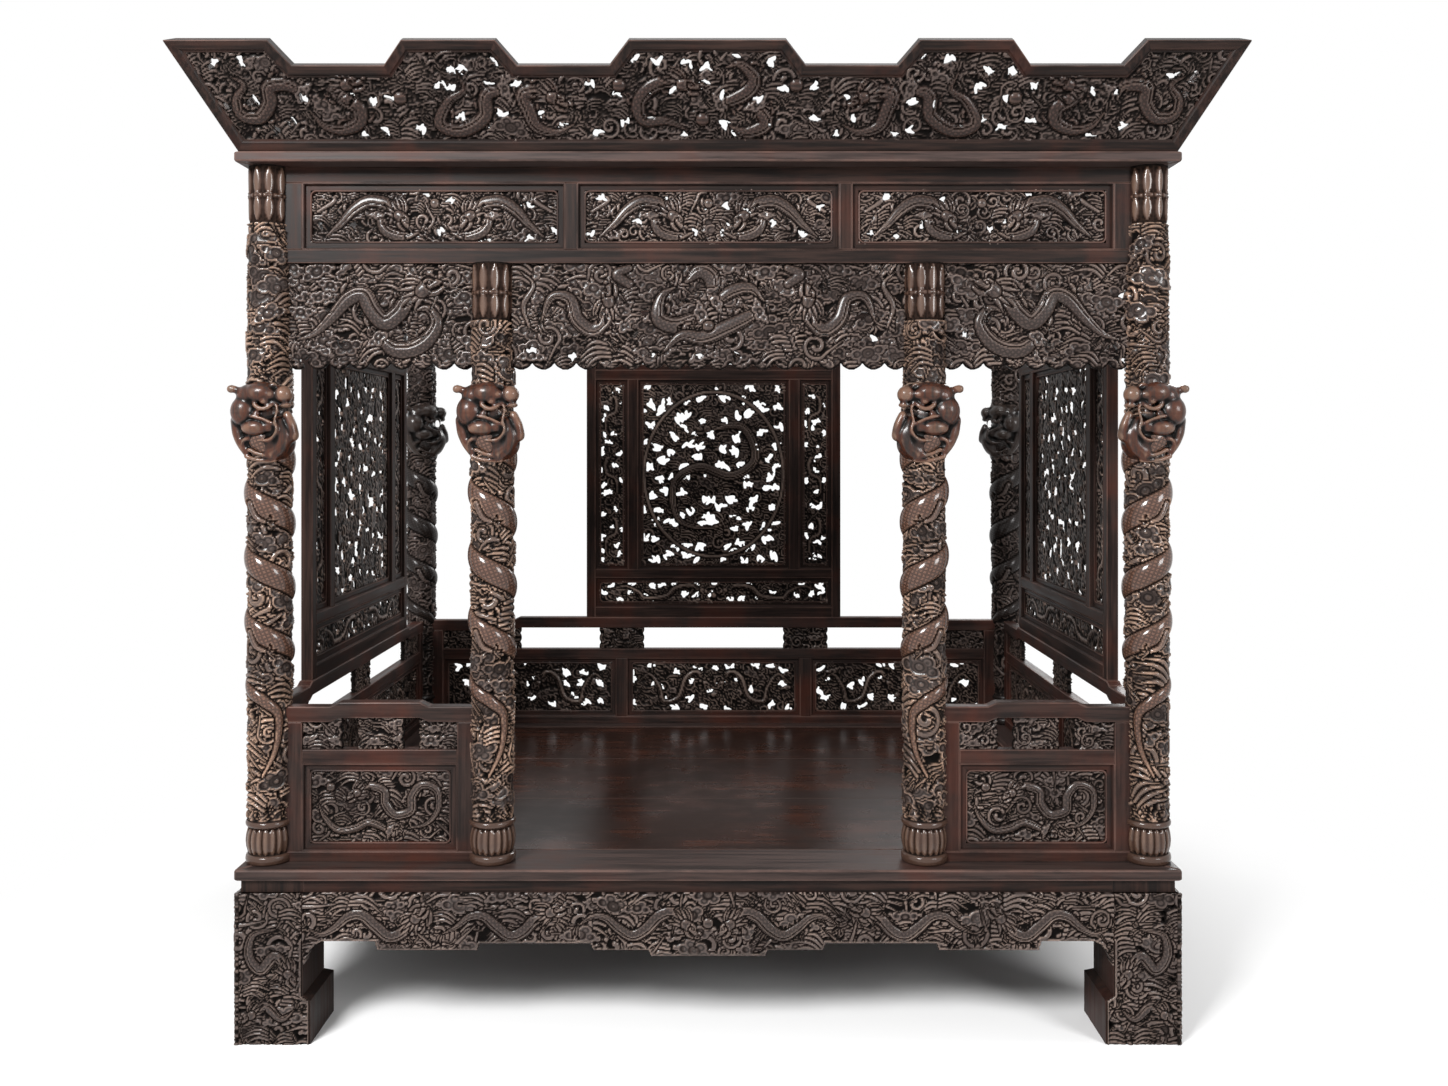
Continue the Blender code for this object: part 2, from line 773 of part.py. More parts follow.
def rail_gap(x0, x1, low, high):
    """An open gap between two carved blocks whose edges swell a little."""
    lower = low + (high - low) * BLOCK_SHOULDER
    upper = high - (high - low) * BLOCK_SHOULDER
    return [
        (x0, low),
        (x1, low),
        (x1 - BLOCK_BULGE, lower),
        (x1 - BLOCK_BULGE, upper),
        (x1, high),
        (x0, high),
        (x0 + BLOCK_BULGE, upper),
        (x0 + BLOCK_BULGE, lower),
    ]


def build_railing(name, side, middle, length, end, panels, blocks, block_w):
    half = length / 2
    rise = half - end - RAIL_SLOPE
    lifted = RAIL_H + RAIL_LIFT
    outline = mirrored([(half, 0), (half, RAIL_H), (half - end, RAIL_H), (rise, lifted)])
    window_top = RAIL_BOTTOM_H + RAIL_WINDOW_H
    windows = panel_windows(length, RAIL_STILE, RAIL_MUNTIN, panels, RAIL_BOTTOM_H, window_top)
    gap_low = window_top + RAIL_MIDDLE_H
    edges = [-rise]
    for block in blocks:
        edges += [block - block_w / 2, block + block_w / 2]
    edges.append(rise)
    gaps = [rail_gap(x0, x1, gap_low, lifted - RAIL_TOP_H) for x0, x1 in zip(edges[::2], edges[1::2])]
    openings = [rectangle(*window) for window in windows] + gaps
    place = side_point(side, middle, post_line(side), DECK_HEIGHT + FIT)
    frame = framed_board(f"{name}_frame", outline, openings, RAIL_T, place, side)
    for index, window in enumerate(windows):
        label = f"{name}_panel" if panels == 1 else f"{name}_panel_{index + 1}"
        fit_panel(label, frame, window)


def build_railings():
    let_in = seat(RAIL_T)
    front_length = (POST_SPAN_X - DOOR_SPAN_X) / 2 - 2 * let_in
    front_middle = (POST_SPAN_X + DOOR_SPAN_X) / 4
    for sign, hand in ((-1, "left"), (1, "right")):
        build_railing(
            f"front_rail_{hand}",
            "front",
            sign * front_middle,
            front_length,
            FRONT_RAIL_END,
            1,
            [0],
            FRONT_BLOCK_W,
        )
        side_length = POST_SPAN_Y - 2 * let_in
        build_railing(f"{hand}_rail", hand, 0, side_length, SIDE_RAIL_END, 2, [0], STRUT_W)
    back_length = POST_SPAN_X - 2 * let_in
    panel_pitch = (back_length - 2 * RAIL_STILE + RAIL_MUNTIN) / 3
    strut = panel_pitch / 2
    build_railing("back_rail", "back", 0, back_length, BACK_RAIL_END, 3, [-strut, strut], STRUT_W)


def build_screen(name, side, width):
    height = FRIEZE_BOTTOM - SCREEN_BOTTOM - 3 * FIT
    half = width / 2
    strip_low = SCREEN_BOTTOM_H
    strip_high = strip_low + SCREEN_STRIP_H
    main_low = strip_high + SCREEN_MIDDLE_H
    main_high = main_low + SCREEN_MAIN_H
    top_low = main_high + SCREEN_UPPER_H
    inner = half - SCREEN_STILE
    strip = inner - SCREEN_STRIP_W
    centre = strip - SCREEN_MUNTIN
    strips = [
        (-inner, strip_low, inner, strip_high),
        (-inner, main_low, -strip, main_high),
        (strip, main_low, inner, main_high),
        (-inner, top_low, inner, height - SCREEN_TOP_H),
    ]
    window = (-centre, main_low, centre, main_high)
    openings = [rectangle(*opening) for opening in strips + [window]]
    place = side_point(side, 0, post_line(side), SCREEN_BOTTOM + 2 * FIT)
    frame = framed_board(f"{name}_frame", rectangle(-half, 0, half, height), openings, SCREEN_T, place, side)
    carve_web(frame, strips)
    fit_panel(f"{name}_panel", frame, window)


def build_screens():
    build_screen("back_screen", "back", BACK_SCREEN_W)
    build_screen("left_screen", "left", SIDE_SCREEN_W)
    build_screen("right_screen", "right", SIDE_SCREEN_W)


def build_frieze(side, panels, door_mortises):
    height = FRIEZE_H - FIT
    length = 2 * (post_reach(side) - seat(FRIEZE_T))
    high = height - FRIEZE_TOP_H
    windows = panel_windows(length, FRIEZE_STILE, FRIEZE_MUNTIN, panels, FRIEZE_BOTTOM_H, high)
    outline = rectangle(-length / 2, 0, length / 2, height)
    openings = [rectangle(*window) for window in windows]
    place = side_point(side, 0, post_line(side), FRIEZE_BOTTOM)
    frame = framed_board(f"frieze_{side}_frame", outline, openings, FRIEZE_T, place, side)
    if side != "front":
        carve_web(frame, windows)
        return
    combine(frame, list(door_mortises.values()), "DIFFERENCE")
    for index, window in enumerate(windows):
        fit_panel(f"frieze_front_panel_{index + 1}", frame, window)


def scalloped_edge(length):
    """Lower edge of a valance from left to right: round lobes of about the same width."""
    lobes = max(1, round(length / VALANCE_LOBE))
    edge = []
    for step in range(lobes * LOBE_STEPS + 1):
        share = step / (lobes * LOBE_STEPS)
        rise = 1 - abs(math.sin(math.pi * lobes * share))
        edge.append((length * (share - 0.5), -VALANCE_H + VALANCE_SCALLOP * rise))
    return edge


def build_valances():
    let_in = seat(VALANCE_T)
    door_length = DOOR_SPAN_X - 2 * let_in
    side_length = (POST_SPAN_X - DOOR_SPAN_X) / 2 - 2 * let_in
    side_middle = (POST_SPAN_X + DOOR_SPAN_X) / 4
    spans = {
        "left": (-side_middle, side_length),
        "centre": (0, door_length),
        "right": (side_middle, side_length),
    }
    for hand, (middle, length) in spans.items():
        outline = scalloped_edge(length) + [(length / 2, -FIT), (-length / 2, -FIT)]
        name = f"valance_{hand}"
        place = side_point("front", middle, post_line("front"), FRIEZE_BOTTOM)
        part(name, outline_mesh(name, [outline], VALANCE_T), place, upright("front"))


# Crown
def crown_top(dips):
    """Right half of the battlement outline between the middle and its last notch, as run and drop."""
    edge = []
    run = CROWN_CENTRE_HALF
    for _ in range(dips):
        edge += [(run, 0), (run + CROWN_SLOPE, CROWN_NOTCH)]
        run += CROWN_SLOPE + CROWN_DIP
        edge += [(run, CROWN_NOTCH), (run + CROWN_SLOPE, 0)]
        run += CROWN_SLOPE + CROWN_RAISE
    return edge


def inset_outline(points, gap):
    """An outline that runs anticlockwise, moved inwards by the gap with mitred corners."""
    inset = []
    for before, point, after in zip(points[-1:] + points[:-1], points, points[1:] + points[:1]):
        arriving = (Vector(point) - Vector(before)).normalized()
        leaving = (Vector(after) - Vector(point)).normalized()
        inward = Vector((-arriving.y - leaving.y, arriving.x + leaving.x))
        inset.append(tuple(Vector(point) + inward * 2 * gap / inward.length_squared))
    return inset


def half_space(name, point, away):
    """A large block whose face passes through the point, on the side that it faces away to."""
    middle = Vector(point) + away * (TRIM_BLOCK - FIT) / 2
    angle = math.atan2(away.y, away.x)
    return cutter(name, box_mesh(name, (TRIM_BLOCK, TRIM_BLOCK, TRIM_BLOCK)), middle, (0, 0, angle))


def build_crown():
    lean = math.atan2(CROWN_LEAN, CROWN_RISE)
    slope = math.hypot(CROWN_LEAN, CROWN_RISE)
    foot = CORNICE_TOP + FIT
    ledge_size = (2 * POST_SPAN_X, 2 * POST_SPAN_X, SPREAD)
    ledge = cutter("crown_foot_cut", box_mesh("crown_foot_cut", ledge_size), (0, CENTRE_Y, foot - SPREAD / 2))
    corner_x = edge_reach("front") - CROWN_INSET
    corner_y = CENTRE_Y - edge_out("front") + CROWN_INSET
    for side, dips in (("front", 2), ("left", 1), ("right", 1)):
        reach = edge_reach(side) - CROWN_INSET
        mitre_reach = reach + CROWN_LEAN + CROWN_T
        top = [(run, slope - drop) for run, drop in crown_top(dips)]
        battlement = list(reversed(top)) + [(-run, height) for run, height in top]
        left_end = reach if side == "left" else mitre_reach
        right_end = reach if side == "right" else mitre_reach
        outline = [(-left_end, -CROWN_T), (right_end, -CROWN_T), (right_end, slope)]
        outline += battlement + [(-left_end, slope)]
        _, outward = directions(side)
        normal = outward * math.cos(lean) - Vector((0, 0, math.sin(lean)))
        place = side_point(side, 0, edge_out(side) - CROWN_INSET, foot) - normal * CROWN_T / 2
        board = part(
            f"crown_{side}", outline_mesh(f"crown_{side}", [outline], CROWN_T), place, upright(side, lean)
        )
        cuts = [ledge]
        for face, label in ((1, "outer"), (-1, "inner")):
            # The mitre runs straight back, so the inner face ends sooner than the outer one
            sooner = 0 if face > 0 else CROWN_T * math.cos(lean)
            mitred = (reach - sooner, reach - sooner + CROWN_LEAN)
            left_foot, left_head = (reach, reach) if side == "left" else mitred
            right_foot, right_head = (reach, reach) if side == "right" else mitred
            shape = [(-left_foot, 0), (right_foot, 0), (right_head, slope)] + battlement + [(-left_head, slope)]
            hollow = f"crown_{side}_{label}_field"
            field = outline_mesh(hollow, [inset_outline(shape, CROWN_BORDER)], CROWN_T)
            cuts.append(cutter(hollow, field, (0, 0, face * (CROWN_FIELD_T + CROWN_T) / 2), parent=board))
        for sign, hand in ((-1, "left"), (1, "right")):
            if side not in ("front", hand):
                continue
            away = Vector((sign, 1, 0)).normalized()
            if side != "front":
                away = -away
            cuts.append(half_space(f"crown_{side}_{hand}_mitre", (sign * corner_x, corner_y, foot), away))
        combine(board, cuts, "DIFFERENCE")


def main():
    corners = [name for name in post_places() if "door" not in name]
    doors = [name for name in post_places() if "door" in name]
    hole = TENON_L + FIT
    build_legs()
    build_aprons()
    build_platform(post_mortises(DECK_HEIGHT, -hole, corners + doors))
    build_deck()
    build_posts()
    build_railings()
    build_screens()
    door_mortises = post_mortises(FRIEZE_BOTTOM, hole, doors)
    for side, panels in (("front", 3), ("back", 3), ("left", 2), ("right", 2)):
        build_frieze(side, panels, door_mortises)
    build_valances()
    build_cornice(post_mortises(CORNICE_BOTTOM, hole, corners))
    build_crown()


main()
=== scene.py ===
# %% [markdown]
# This lesson dresses the imported solids of a six-post canopy bed, carved all over in dark hardwood.
# The solids carry the sizes and the joints, so every piece below is built around them, in metres.

# %% Load the imported solids
import math

import bmesh
import bpy
import numpy as np
from mathutils import Matrix, Vector


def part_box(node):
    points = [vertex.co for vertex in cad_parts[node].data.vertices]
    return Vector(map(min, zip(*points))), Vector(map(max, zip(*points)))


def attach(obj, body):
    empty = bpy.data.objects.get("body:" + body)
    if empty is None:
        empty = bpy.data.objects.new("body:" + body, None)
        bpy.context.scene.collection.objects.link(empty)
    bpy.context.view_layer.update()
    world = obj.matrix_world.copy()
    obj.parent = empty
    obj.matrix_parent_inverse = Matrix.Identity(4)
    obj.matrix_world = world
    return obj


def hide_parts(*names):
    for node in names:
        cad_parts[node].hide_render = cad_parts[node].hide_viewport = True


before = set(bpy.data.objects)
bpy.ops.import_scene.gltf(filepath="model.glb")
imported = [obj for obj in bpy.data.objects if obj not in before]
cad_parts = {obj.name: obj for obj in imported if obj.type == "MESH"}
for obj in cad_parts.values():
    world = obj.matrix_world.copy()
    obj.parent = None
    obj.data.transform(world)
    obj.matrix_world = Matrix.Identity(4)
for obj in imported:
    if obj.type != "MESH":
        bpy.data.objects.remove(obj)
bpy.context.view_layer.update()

# %% [markdown]
# The bed is symmetrical, so it is described by a few levels and reaches, read from the solids.
# Each side of the bed gets its own flat drawing board: x runs left to right as seen from outside,
# y runs up and z points out. One matrix per side then stands the drawing up where it belongs.

# %% Measure the bed and set up the four sides
BED_MIDDLE = (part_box("platform_front")[0].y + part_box("platform_back")[1].y) / 2
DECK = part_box("platform_front")[1].z
CORNICE_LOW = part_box("cornice_front")[0].z
CORNICE_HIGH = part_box("cornice_front")[1].z
FRIEZE_LOW, FRIEZE_HIGH = (corner.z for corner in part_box("frieze_front_frame"))
EDGE_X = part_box("platform_right")[1].x
EDGE_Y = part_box("platform_back")[1].y - BED_MIDDLE
POST_X = 1.04
DOOR_X = 0.512
POST_Y = 0.725
SIDE_ANGLES = {"front": 0, "right": math.pi / 2, "back": math.pi, "left": -math.pi / 2}


def is_long(side):
    return side in ("front", "back")


def post_line(side):
    """From the bed's middle out to the line of posts on that side."""
    return POST_Y if is_long(side) else POST_X


def edge_line(side):
    return EDGE_Y if is_long(side) else EDGE_X


def end_line(side):
    """From the middle of a side to its ends."""
    return EDGE_X if is_long(side) else EDGE_Y


def side_matrix(side, out, along=0.0, up=0.0):
    """Stands a drawing up on one side of the bed, its z pointing out."""
    turn = Matrix.Rotation(SIDE_ANGLES[side], 4, "Z") @ Matrix.Rotation(math.pi / 2, 4, "X")
    return Matrix.Translation((0, BED_MIDDLE, 0)) @ turn @ Matrix.Translation((along, up, out))


print("deck", round(DECK, 4), "frieze", round(FRIEZE_LOW, 4), round(FRIEZE_HIGH, 4), "middle", round(BED_MIDDLE, 4))

# %% [markdown]
# Old hardwood is never one colour. Fine dark streaks follow the grain, broad patches are redder,
# and the edges are paler, partly from rubbing and partly as a painted highlight. The streaks and
# patches serve every finish on the bed, so they are one node group with named sockets; each material
# then mixes them in its own way.

# %% Node helpers and the wood figure group
def put(tree, kind, inputs=None, **settings):
    """A shader node with its settings and its unlinked inputs."""
    node = tree.nodes.new(kind)
    for key, value in settings.items():
        setattr(node, key, value)
    for key, value in (inputs or {}).items():
        node.inputs[key].default_value = value
    return node


def blend_colours(tree, share, first, second):
    """A colour mix; each argument is a socket or a value."""
    node = put(tree, "ShaderNodeMix", data_type="RGBA")
    for socket, value in ((node.inputs[0], share), (node.inputs[6], first), (node.inputs[7], second)):
        if isinstance(value, bpy.types.NodeSocket):
            tree.links.new(value, socket)
        else:
            socket.default_value = value
    return node.outputs[2]


def maths(tree, operation, *values, clamp=False):
    node = put(tree, "ShaderNodeMath", operation=operation, use_clamp=clamp)
    for socket, value in zip(node.inputs, values):
        if isinstance(value, bpy.types.NodeSocket):
            tree.links.new(value, socket)
        else:
            socket.default_value = value
    return node.outputs[0]


def remap(tree, value, low, high, new_low=0.0, new_high=1.0):
    """A value stretched from one range to another, kept inside it."""
    limits = {"From Min": low, "From Max": high, "To Min": new_low, "To Max": new_high}
    node = put(tree, "ShaderNodeMapRange", limits, interpolation_type="SMOOTHSTEP")
    tree.links.new(value, node.inputs["Value"])
    return node.outputs["Result"]


def new_group(name, inputs, outputs):
    group = bpy.data.node_groups.new(name, "ShaderNodeTree")
    for way, sockets in (("INPUT", inputs), ("OUTPUT", outputs)):
        for label, kind in sockets.items():
            group.interface.new_socket(label, in_out=way, socket_type="NodeSocket" + kind)
    return group, group.nodes.new("NodeGroupInput"), group.nodes.new("NodeGroupOutput")


def noise(tree, vector, scale, detail, roughness):
    node = put(tree, "ShaderNodeTexNoise", {"Scale": scale, "Detail": detail, "Roughness": roughness})
    tree.links.new(vector, node.inputs["Vector"])
    return node.outputs[0]


def wood_figure_group():
    outputs = {"Streaks": "Float", "Patches": "Float", "Specks": "Float"}
    group, entry, leave = new_group("wood_figure", {"Place": "Vector", "Grain": "Vector"}, outputs)
    group.links.new(noise(group, entry.outputs["Grain"], 90, 5, 0.65), leave.inputs["Streaks"])
    group.links.new(noise(group, entry.outputs["Place"], 6, 4, 0.6), leave.inputs["Patches"])
    group.links.new(noise(group, entry.outputs["Place"], 160, 2, 0.5), leave.inputs["Specks"])
    return group


WOOD_FIGURE = wood_figure_group()
print("node group", WOOD_FIGURE.name)

# %% [markdown]
# The plain frame wood is almost black where it is oiled and dull, dark red where it is polished, and
# paler along every arris, partly from real rubbing and partly as a painted highlight. The arrises are
# known from the modelling: each bevel face carries a rub-and-highlight attribute, and noise breaks the
# pale line up so that it doesn't look drawn.

# %% Finish of the plain frames, one material for each direction of the grain
BLACK_WOOD = (0.0085, 0.0062, 0.0056, 1)
BROWN_WOOD = (0.026, 0.0145, 0.0115, 1)
RED_WOOD = (0.052, 0.0155, 0.0098, 1)
PALE_EDGE = (0.22, 0.13, 0.105, 1)
# A pale grey mixed into whole pieces as painted sheen.
PALE_SHEEN_WOOD = (0.105, 0.076, 0.07, 1)
ALONG_GRAIN = 0.045
SHEEN = 0.1
CARVED_SHEEN = 0.04


def wood_start(name, grain):
    """A material with its shader, its Object coordinates and the wood figure along that axis."""
    material = bpy.data.materials.new(name)
    material.use_nodes = True
    tree = material.node_tree
    shader = tree.nodes["Principled BSDF"]
    shader.inputs["Specular IOR Level"].default_value = SHEEN
    coordinates = tree.nodes.new("ShaderNodeTexCoord")
    stretch = [ALONG_GRAIN if axis == grain else 1 for axis in "xyz"]
    mapping = put(tree, "ShaderNodeMapping", {"Scale": stretch})
    figure = put(tree, "ShaderNodeGroup", node_tree=WOOD_FIGURE)
    tree.links.new(coordinates.outputs["Object"], mapping.inputs["Vector"])
    tree.links.new(mapping.outputs["Vector"], figure.inputs["Grain"])
    tree.links.new(coordinates.outputs["Object"], figure.inputs["Place"])
    return material, tree, shader, figure.outputs


def add_bump(tree, shader, height, strength, distance):
    bump = put(tree, "ShaderNodeBump", {"Strength": strength, "Distance": distance})
    tree.links.new(height, bump.inputs["Height"])
    tree.links.new(bump.outputs["Normal"], shader.inputs["Normal"])
    return bump


def frame_wood(name, grain, painted_sheen=0.0, red=0.55, sheen=SHEEN):
    """Plain finish; the sheen share mixes in a pale grey as painted sheen, and red is how far polish shows."""
    material, tree, shader, figure = wood_start(name, grain)
    shader.inputs["Specular IOR Level"].default_value = sheen
    rub_and_highlight = put(tree, "ShaderNodeAttribute", attribute_name="rub_and_highlight").outputs["Fac"]
    streaked = blend_colours(tree, remap(tree, figure["Streaks"], 0.38, 0.68), BLACK_WOOD, BROWN_WOOD)
    # Painted sheen: a pale grey mixed in, more of it where the streaks are lighter.
    paled = blend_colours(tree, remap(tree, figure["Streaks"], 0.3, 0.6, 0.4 * painted_sheen, painted_sheen), streaked, PALE_SHEEN_WOOD)
    reddened = blend_colours(tree, remap(tree, figure["Patches"], 0.68 - 0.36 * red, 0.78, 0, red), paled, RED_WOOD)
    broken = maths(tree, "MULTIPLY", rub_and_highlight, remap(tree, figure["Patches"], 0.34, 0.62, 0.15, 0.95))
    # Pale arrises: partly real rubbing, partly a painted highlight.
    colour = blend_colours(tree, maths(tree, "MULTIPLY", broken, 0.3), reddened, PALE_EDGE)
    tree.links.new(colour, shader.inputs["Base Color"])
    tree.links.new(remap(tree, figure["Streaks"], 0.3, 0.7, 0.34, 0.52), shader.inputs["Roughness"])
    add_bump(tree, shader, figure["Streaks"], 0.22, 0.0012)
    return material


FRAME_WOOD = {axis: frame_wood(f"frame_wood_{axis}", axis) for axis in "xyz"}
# Lit copies: the platform's edge and the cornice get more painted sheen, the rails and screens a little.
EDGE_WOOD = {axis: frame_wood(f"edge_wood_{axis}", axis, 0.22) for axis in "xy"}
CORNICE_WOOD = {axis: frame_wood(f"cornice_wood_{axis}", axis, 0.34, 0.64) for axis in "xy"}
RAIL_WOOD = {axis: frame_wood(f"rail_wood_{axis}", axis, 0.07, 0.9) for axis in "xyz"}
SCREEN_WOOD = {axis: frame_wood(f"screen_wood_{axis}", axis, 0.08, 0.56, 0.02) for axis in "xyz"}
print("frame finishes", sum(map(len, (FRAME_WOOD, EDGE_WOOD, CORNICE_WOOD, RAIL_WOOD, SCREEN_WOOD))))

# %% [markdown]
# The deck is planed and polished by long use: broad boards with long dark figure and a soft gloss
# that mirrors the posts. It shares the wood figure, but is redder and smoother, with only a faint
# pale arris line, partly a painted highlight.

# %% Finish of the deck boards
DECK_DARK = (0.011, 0.0058, 0.0045, 1)
DECK_RED = (0.06, 0.021, 0.0125, 1)


def deck_wood():
    material, tree, shader, figure = wood_start("deck_wood", "x")
    rub_and_highlight = put(tree, "ShaderNodeAttribute", attribute_name="rub_and_highlight").outputs["Fac"]
    streaks = remap(tree, figure["Streaks"], 0.36, 0.7)
    worn = remap(tree, figure["Patches"], 0.4, 0.7, 0.15, 0.9)
    colour = blend_colours(tree, maths(tree, "MULTIPLY", streaks, worn), DECK_DARK, DECK_RED)
    # A faint pale arris line, partly a painted highlight.
    edged = blend_colours(tree, maths(tree, "MULTIPLY", rub_and_highlight, 0.12), colour, PALE_EDGE)
    tree.links.new(edged, shader.inputs["Base Color"])
    tree.links.new(remap(tree, figure["Patches"], 0.35, 0.7, 0.36, 0.22), shader.inputs["Roughness"])
    shader.inputs["Specular IOR Level"].default_value = 0.06
    shader.inputs["Coat Weight"].default_value = 0.15
    shader.inputs["Coat Roughness"].default_value = 0.24
    add_bump(tree, shader, figure["Streaks"], 0.12, 0.001)
    return material


DECK_WOOD = deck_wood()
print("deck finish", DECK_WOOD.name)

# %% [markdown]
# Carving gets its depth from painted light and shade: recesses and low ground are painted dark as
# shade, and what stands proud is rubbed to warm brown, partly real rubbing and partly a painted
# highlight. Both follow the shape, so the modelling stores them at each point in the colour attribute
# "carving": red is the height, green the hollowness, blue the dragon's skin, alpha the sharp ridges.
# A second attribute, "lines", runs along and across each carved form. It draws the fine incised lines
# on the clouds and the net of scales on the dragons, which are finer than the mesh.

# %% Tones of the carved wood, as a node group
# Painted shade: near black for hollows, grooves and low ground, dark brown for low relief.
SHADE_BLACK = (0.002, 0.0015, 0.0013, 1)
CARVED_LOW_SHADE = (0.0098, 0.0072, 0.0064, 1)
CARVED_BROWN = (0.047, 0.034, 0.03, 1)
SKIN_BROWN = (0.042, 0.0275, 0.023, 1)
POST_BROWN = (0.105, 0.053, 0.036, 1)
# A dark brown: painted shade for the darker copies at the back, and the dark of the heads' grain streaks.
DARK_GRAIN_AND_SHADE = (0.017, 0.012, 0.0105, 1)
# Rubbed colours for ridges: partly real rubbing, partly a painted highlight.
COPPER_RUB_HIGHLIGHT = (0.43, 0.272, 0.19, 1)
BROWN_RUB_HIGHLIGHT = (0.3, 0.215, 0.175, 1)
CROWN_BROWN = (0.034, 0.0185, 0.0145, 1)


def carved_tone_group():
    inputs = {
        "Carving": "Color", "Ridge": "Float", "Rub and highlight share": "Float", "Rub and highlight colour": "Color", "Skin": "Color", "Patches": "Float",
        "Specks": "Float", "Crests": "Float"
    }
    outputs = {"Colour": "Color", "Roughness": "Float", "Polish": "Float"}
    group, entry, leave = new_group("carved_tone", inputs, outputs)
    parts = put(group, "ShaderNodeSeparateColor")
    group.links.new(entry.outputs["Carving"], parts.inputs[0])
    relief, hollow, skin = parts.outputs
    body = blend_colours(group, skin, CARVED_BROWN, entry.outputs["Skin"])
    # Low relief is painted darker, as shade.
    tone = blend_colours(group, remap(group, relief, 0.1, 0.65), CARVED_LOW_SHADE, body)
    # Sharp ridges turn lighter: partly rubbing, partly a painted highlight.
    uneven = maths(
        group, "MULTIPLY", maths(group, "POWER", entry.outputs["Ridge"], 1.7),
        remap(group, entry.outputs["Patches"], 0.36, 0.66, 0.35, 1.15)
    )
    worn = maths(group, "MULTIPLY", uneven, entry.outputs["Rub and highlight share"], clamp=True)
    # Incised lines are painted dark, as shade in their grooves.
    incised = blend_colours(group, remap(group, entry.outputs["Crests"], 0.25, 0.8, 0.6, 0.0), tone, SHADE_BLACK)
    rub_and_highlight_colour = blend_colours(group, worn, incised, entry.outputs["Rub and highlight colour"])
    # Hollows and low ground are painted near black, as shade, broken up by specks.
    speckled_shade = maths(group, "MULTIPLY", remap(group, entry.outputs["Specks"], 0.3, 0.7, 0.7, 1.0), hollow, clamp=True)
    colour = blend_colours(group, speckled_shade, rub_and_highlight_colour, SHADE_BLACK)
    group.links.new(colour, leave.inputs["Colour"])
    proud = maths(group, "MULTIPLY", remap(group, relief, 0.25, 0.85), remap(group, hollow, 0.0, 0.4, 1.0, 0.0))
    group.links.new(proud, leave.inputs["Polish"])
    group.links.new(remap(group, hollow, 0.1, 0.9, 0.38, 0.75), leave.inputs["Roughness"])
    return group


CARVED_TONE = carved_tone_group()
print("node group", CARVED_TONE.name)

# %% [markdown]
# The carved finish puts these tones to work. Incised lines could be modelled, but they are finer than
# the carving grid, so wave textures draw them along the stored "lines" as dark stripes of painted
# shade: stripes on the clouds, and on the dragons a net of crossing stripes, which reads as scales.
# The same waves feed the bump.

# %% Finish of the carved wood
LINE_GAP, SCALE_GAP = 0.0092, 0.0085
WAVE_UNIT = 0.31416


def wave(tree, vector, turn, spacing):
    """Even ridges across a direction, that far apart."""
    mapping = put(tree, "ShaderNodeMapping", {"Rotation": (0, 0, turn)})
    ridges = put(tree, "ShaderNodeTexWave", {"Scale": WAVE_UNIT / spacing, "Distortion": 0.0})
    tree.links.new(vector, mapping.inputs["Vector"])
    tree.links.new(mapping.outputs["Vector"], ridges.inputs["Vector"])
    return ridges.outputs["Fac"]


def carved_wood(name, skin_tone, rub_and_highlight_share, rub_and_highlight_colour, polish, gloss):
    """Carved finish; its dragon skin, the share and colour of rubbing and painted highlight on its ridges, and its
    lacquer.
    """
    material, tree, shader, figure = wood_start(name, "x")
    shader.inputs["Specular IOR Level"].default_value = CARVED_SHEEN
    carving = put(tree, "ShaderNodeAttribute", attribute_name="carving")
    lines = put(tree, "ShaderNodeAttribute", attribute_name="lines").outputs["Vector"]
    split = put(tree, "ShaderNodeSeparateColor")
    tree.links.new(carving.outputs["Color"], split.inputs[0])
    skin = split.outputs[2]
    incised = wave(tree, lines, math.pi / 2, LINE_GAP)
    net = maths(tree, "MINIMUM", *(wave(tree, lines, turn, SCALE_GAP) for turn in (math.pi / 4, -math.pi / 4)))
    ridges = blend_colours(tree, skin, incised, net)
    tone = put(tree, "ShaderNodeGroup", node_tree=CARVED_TONE)
    tone.inputs["Rub and highlight share"].default_value = rub_and_highlight_share
    tone.inputs["Rub and highlight colour"].default_value = rub_and_highlight_colour
    tone.inputs["Skin"].default_value = skin_tone
    tree.links.new(carving.outputs["Color"], tone.inputs["Carving"])
    tree.links.new(carving.outputs["Alpha"], tone.inputs["Ridge"])
    tree.links.new(figure["Patches"], tone.inputs["Patches"])
    tree.links.new(figure["Specks"], tone.inputs["Specks"])
    tree.links.new(remap(tree, ridges, 0.1, 0.9, 0.25, 1.0), tone.inputs["Crests"])
    tree.links.new(tone.outputs["Colour"], shader.inputs["Base Color"])
    tree.links.new(tone.outputs["Roughness"], shader.inputs["Roughness"])
    tree.links.new(maths(tree, "MULTIPLY", tone.outputs["Polish"], polish), shader.inputs["Coat Weight"])
    shader.inputs["Coat Roughness"].default_value = gloss
    rough = maths(tree, "ADD", ridges, maths(tree, "MULTIPLY", figure["Specks"], 0.8))
    add_bump(tree, shader, rough, 0.65, 0.0014)
    return material


# Every carved finish paints a highlight into its rubbed ridges; the posts' is the brightest.
CARVED_WOOD = carved_wood("carved_wood", SKIN_BROWN, 0.4, BROWN_RUB_HIGHLIGHT, 0.6, 0.22)
POST_WOOD = carved_wood("post_wood", POST_BROWN, 0.7, COPPER_RUB_HIGHLIGHT, 0.85, 0.15)
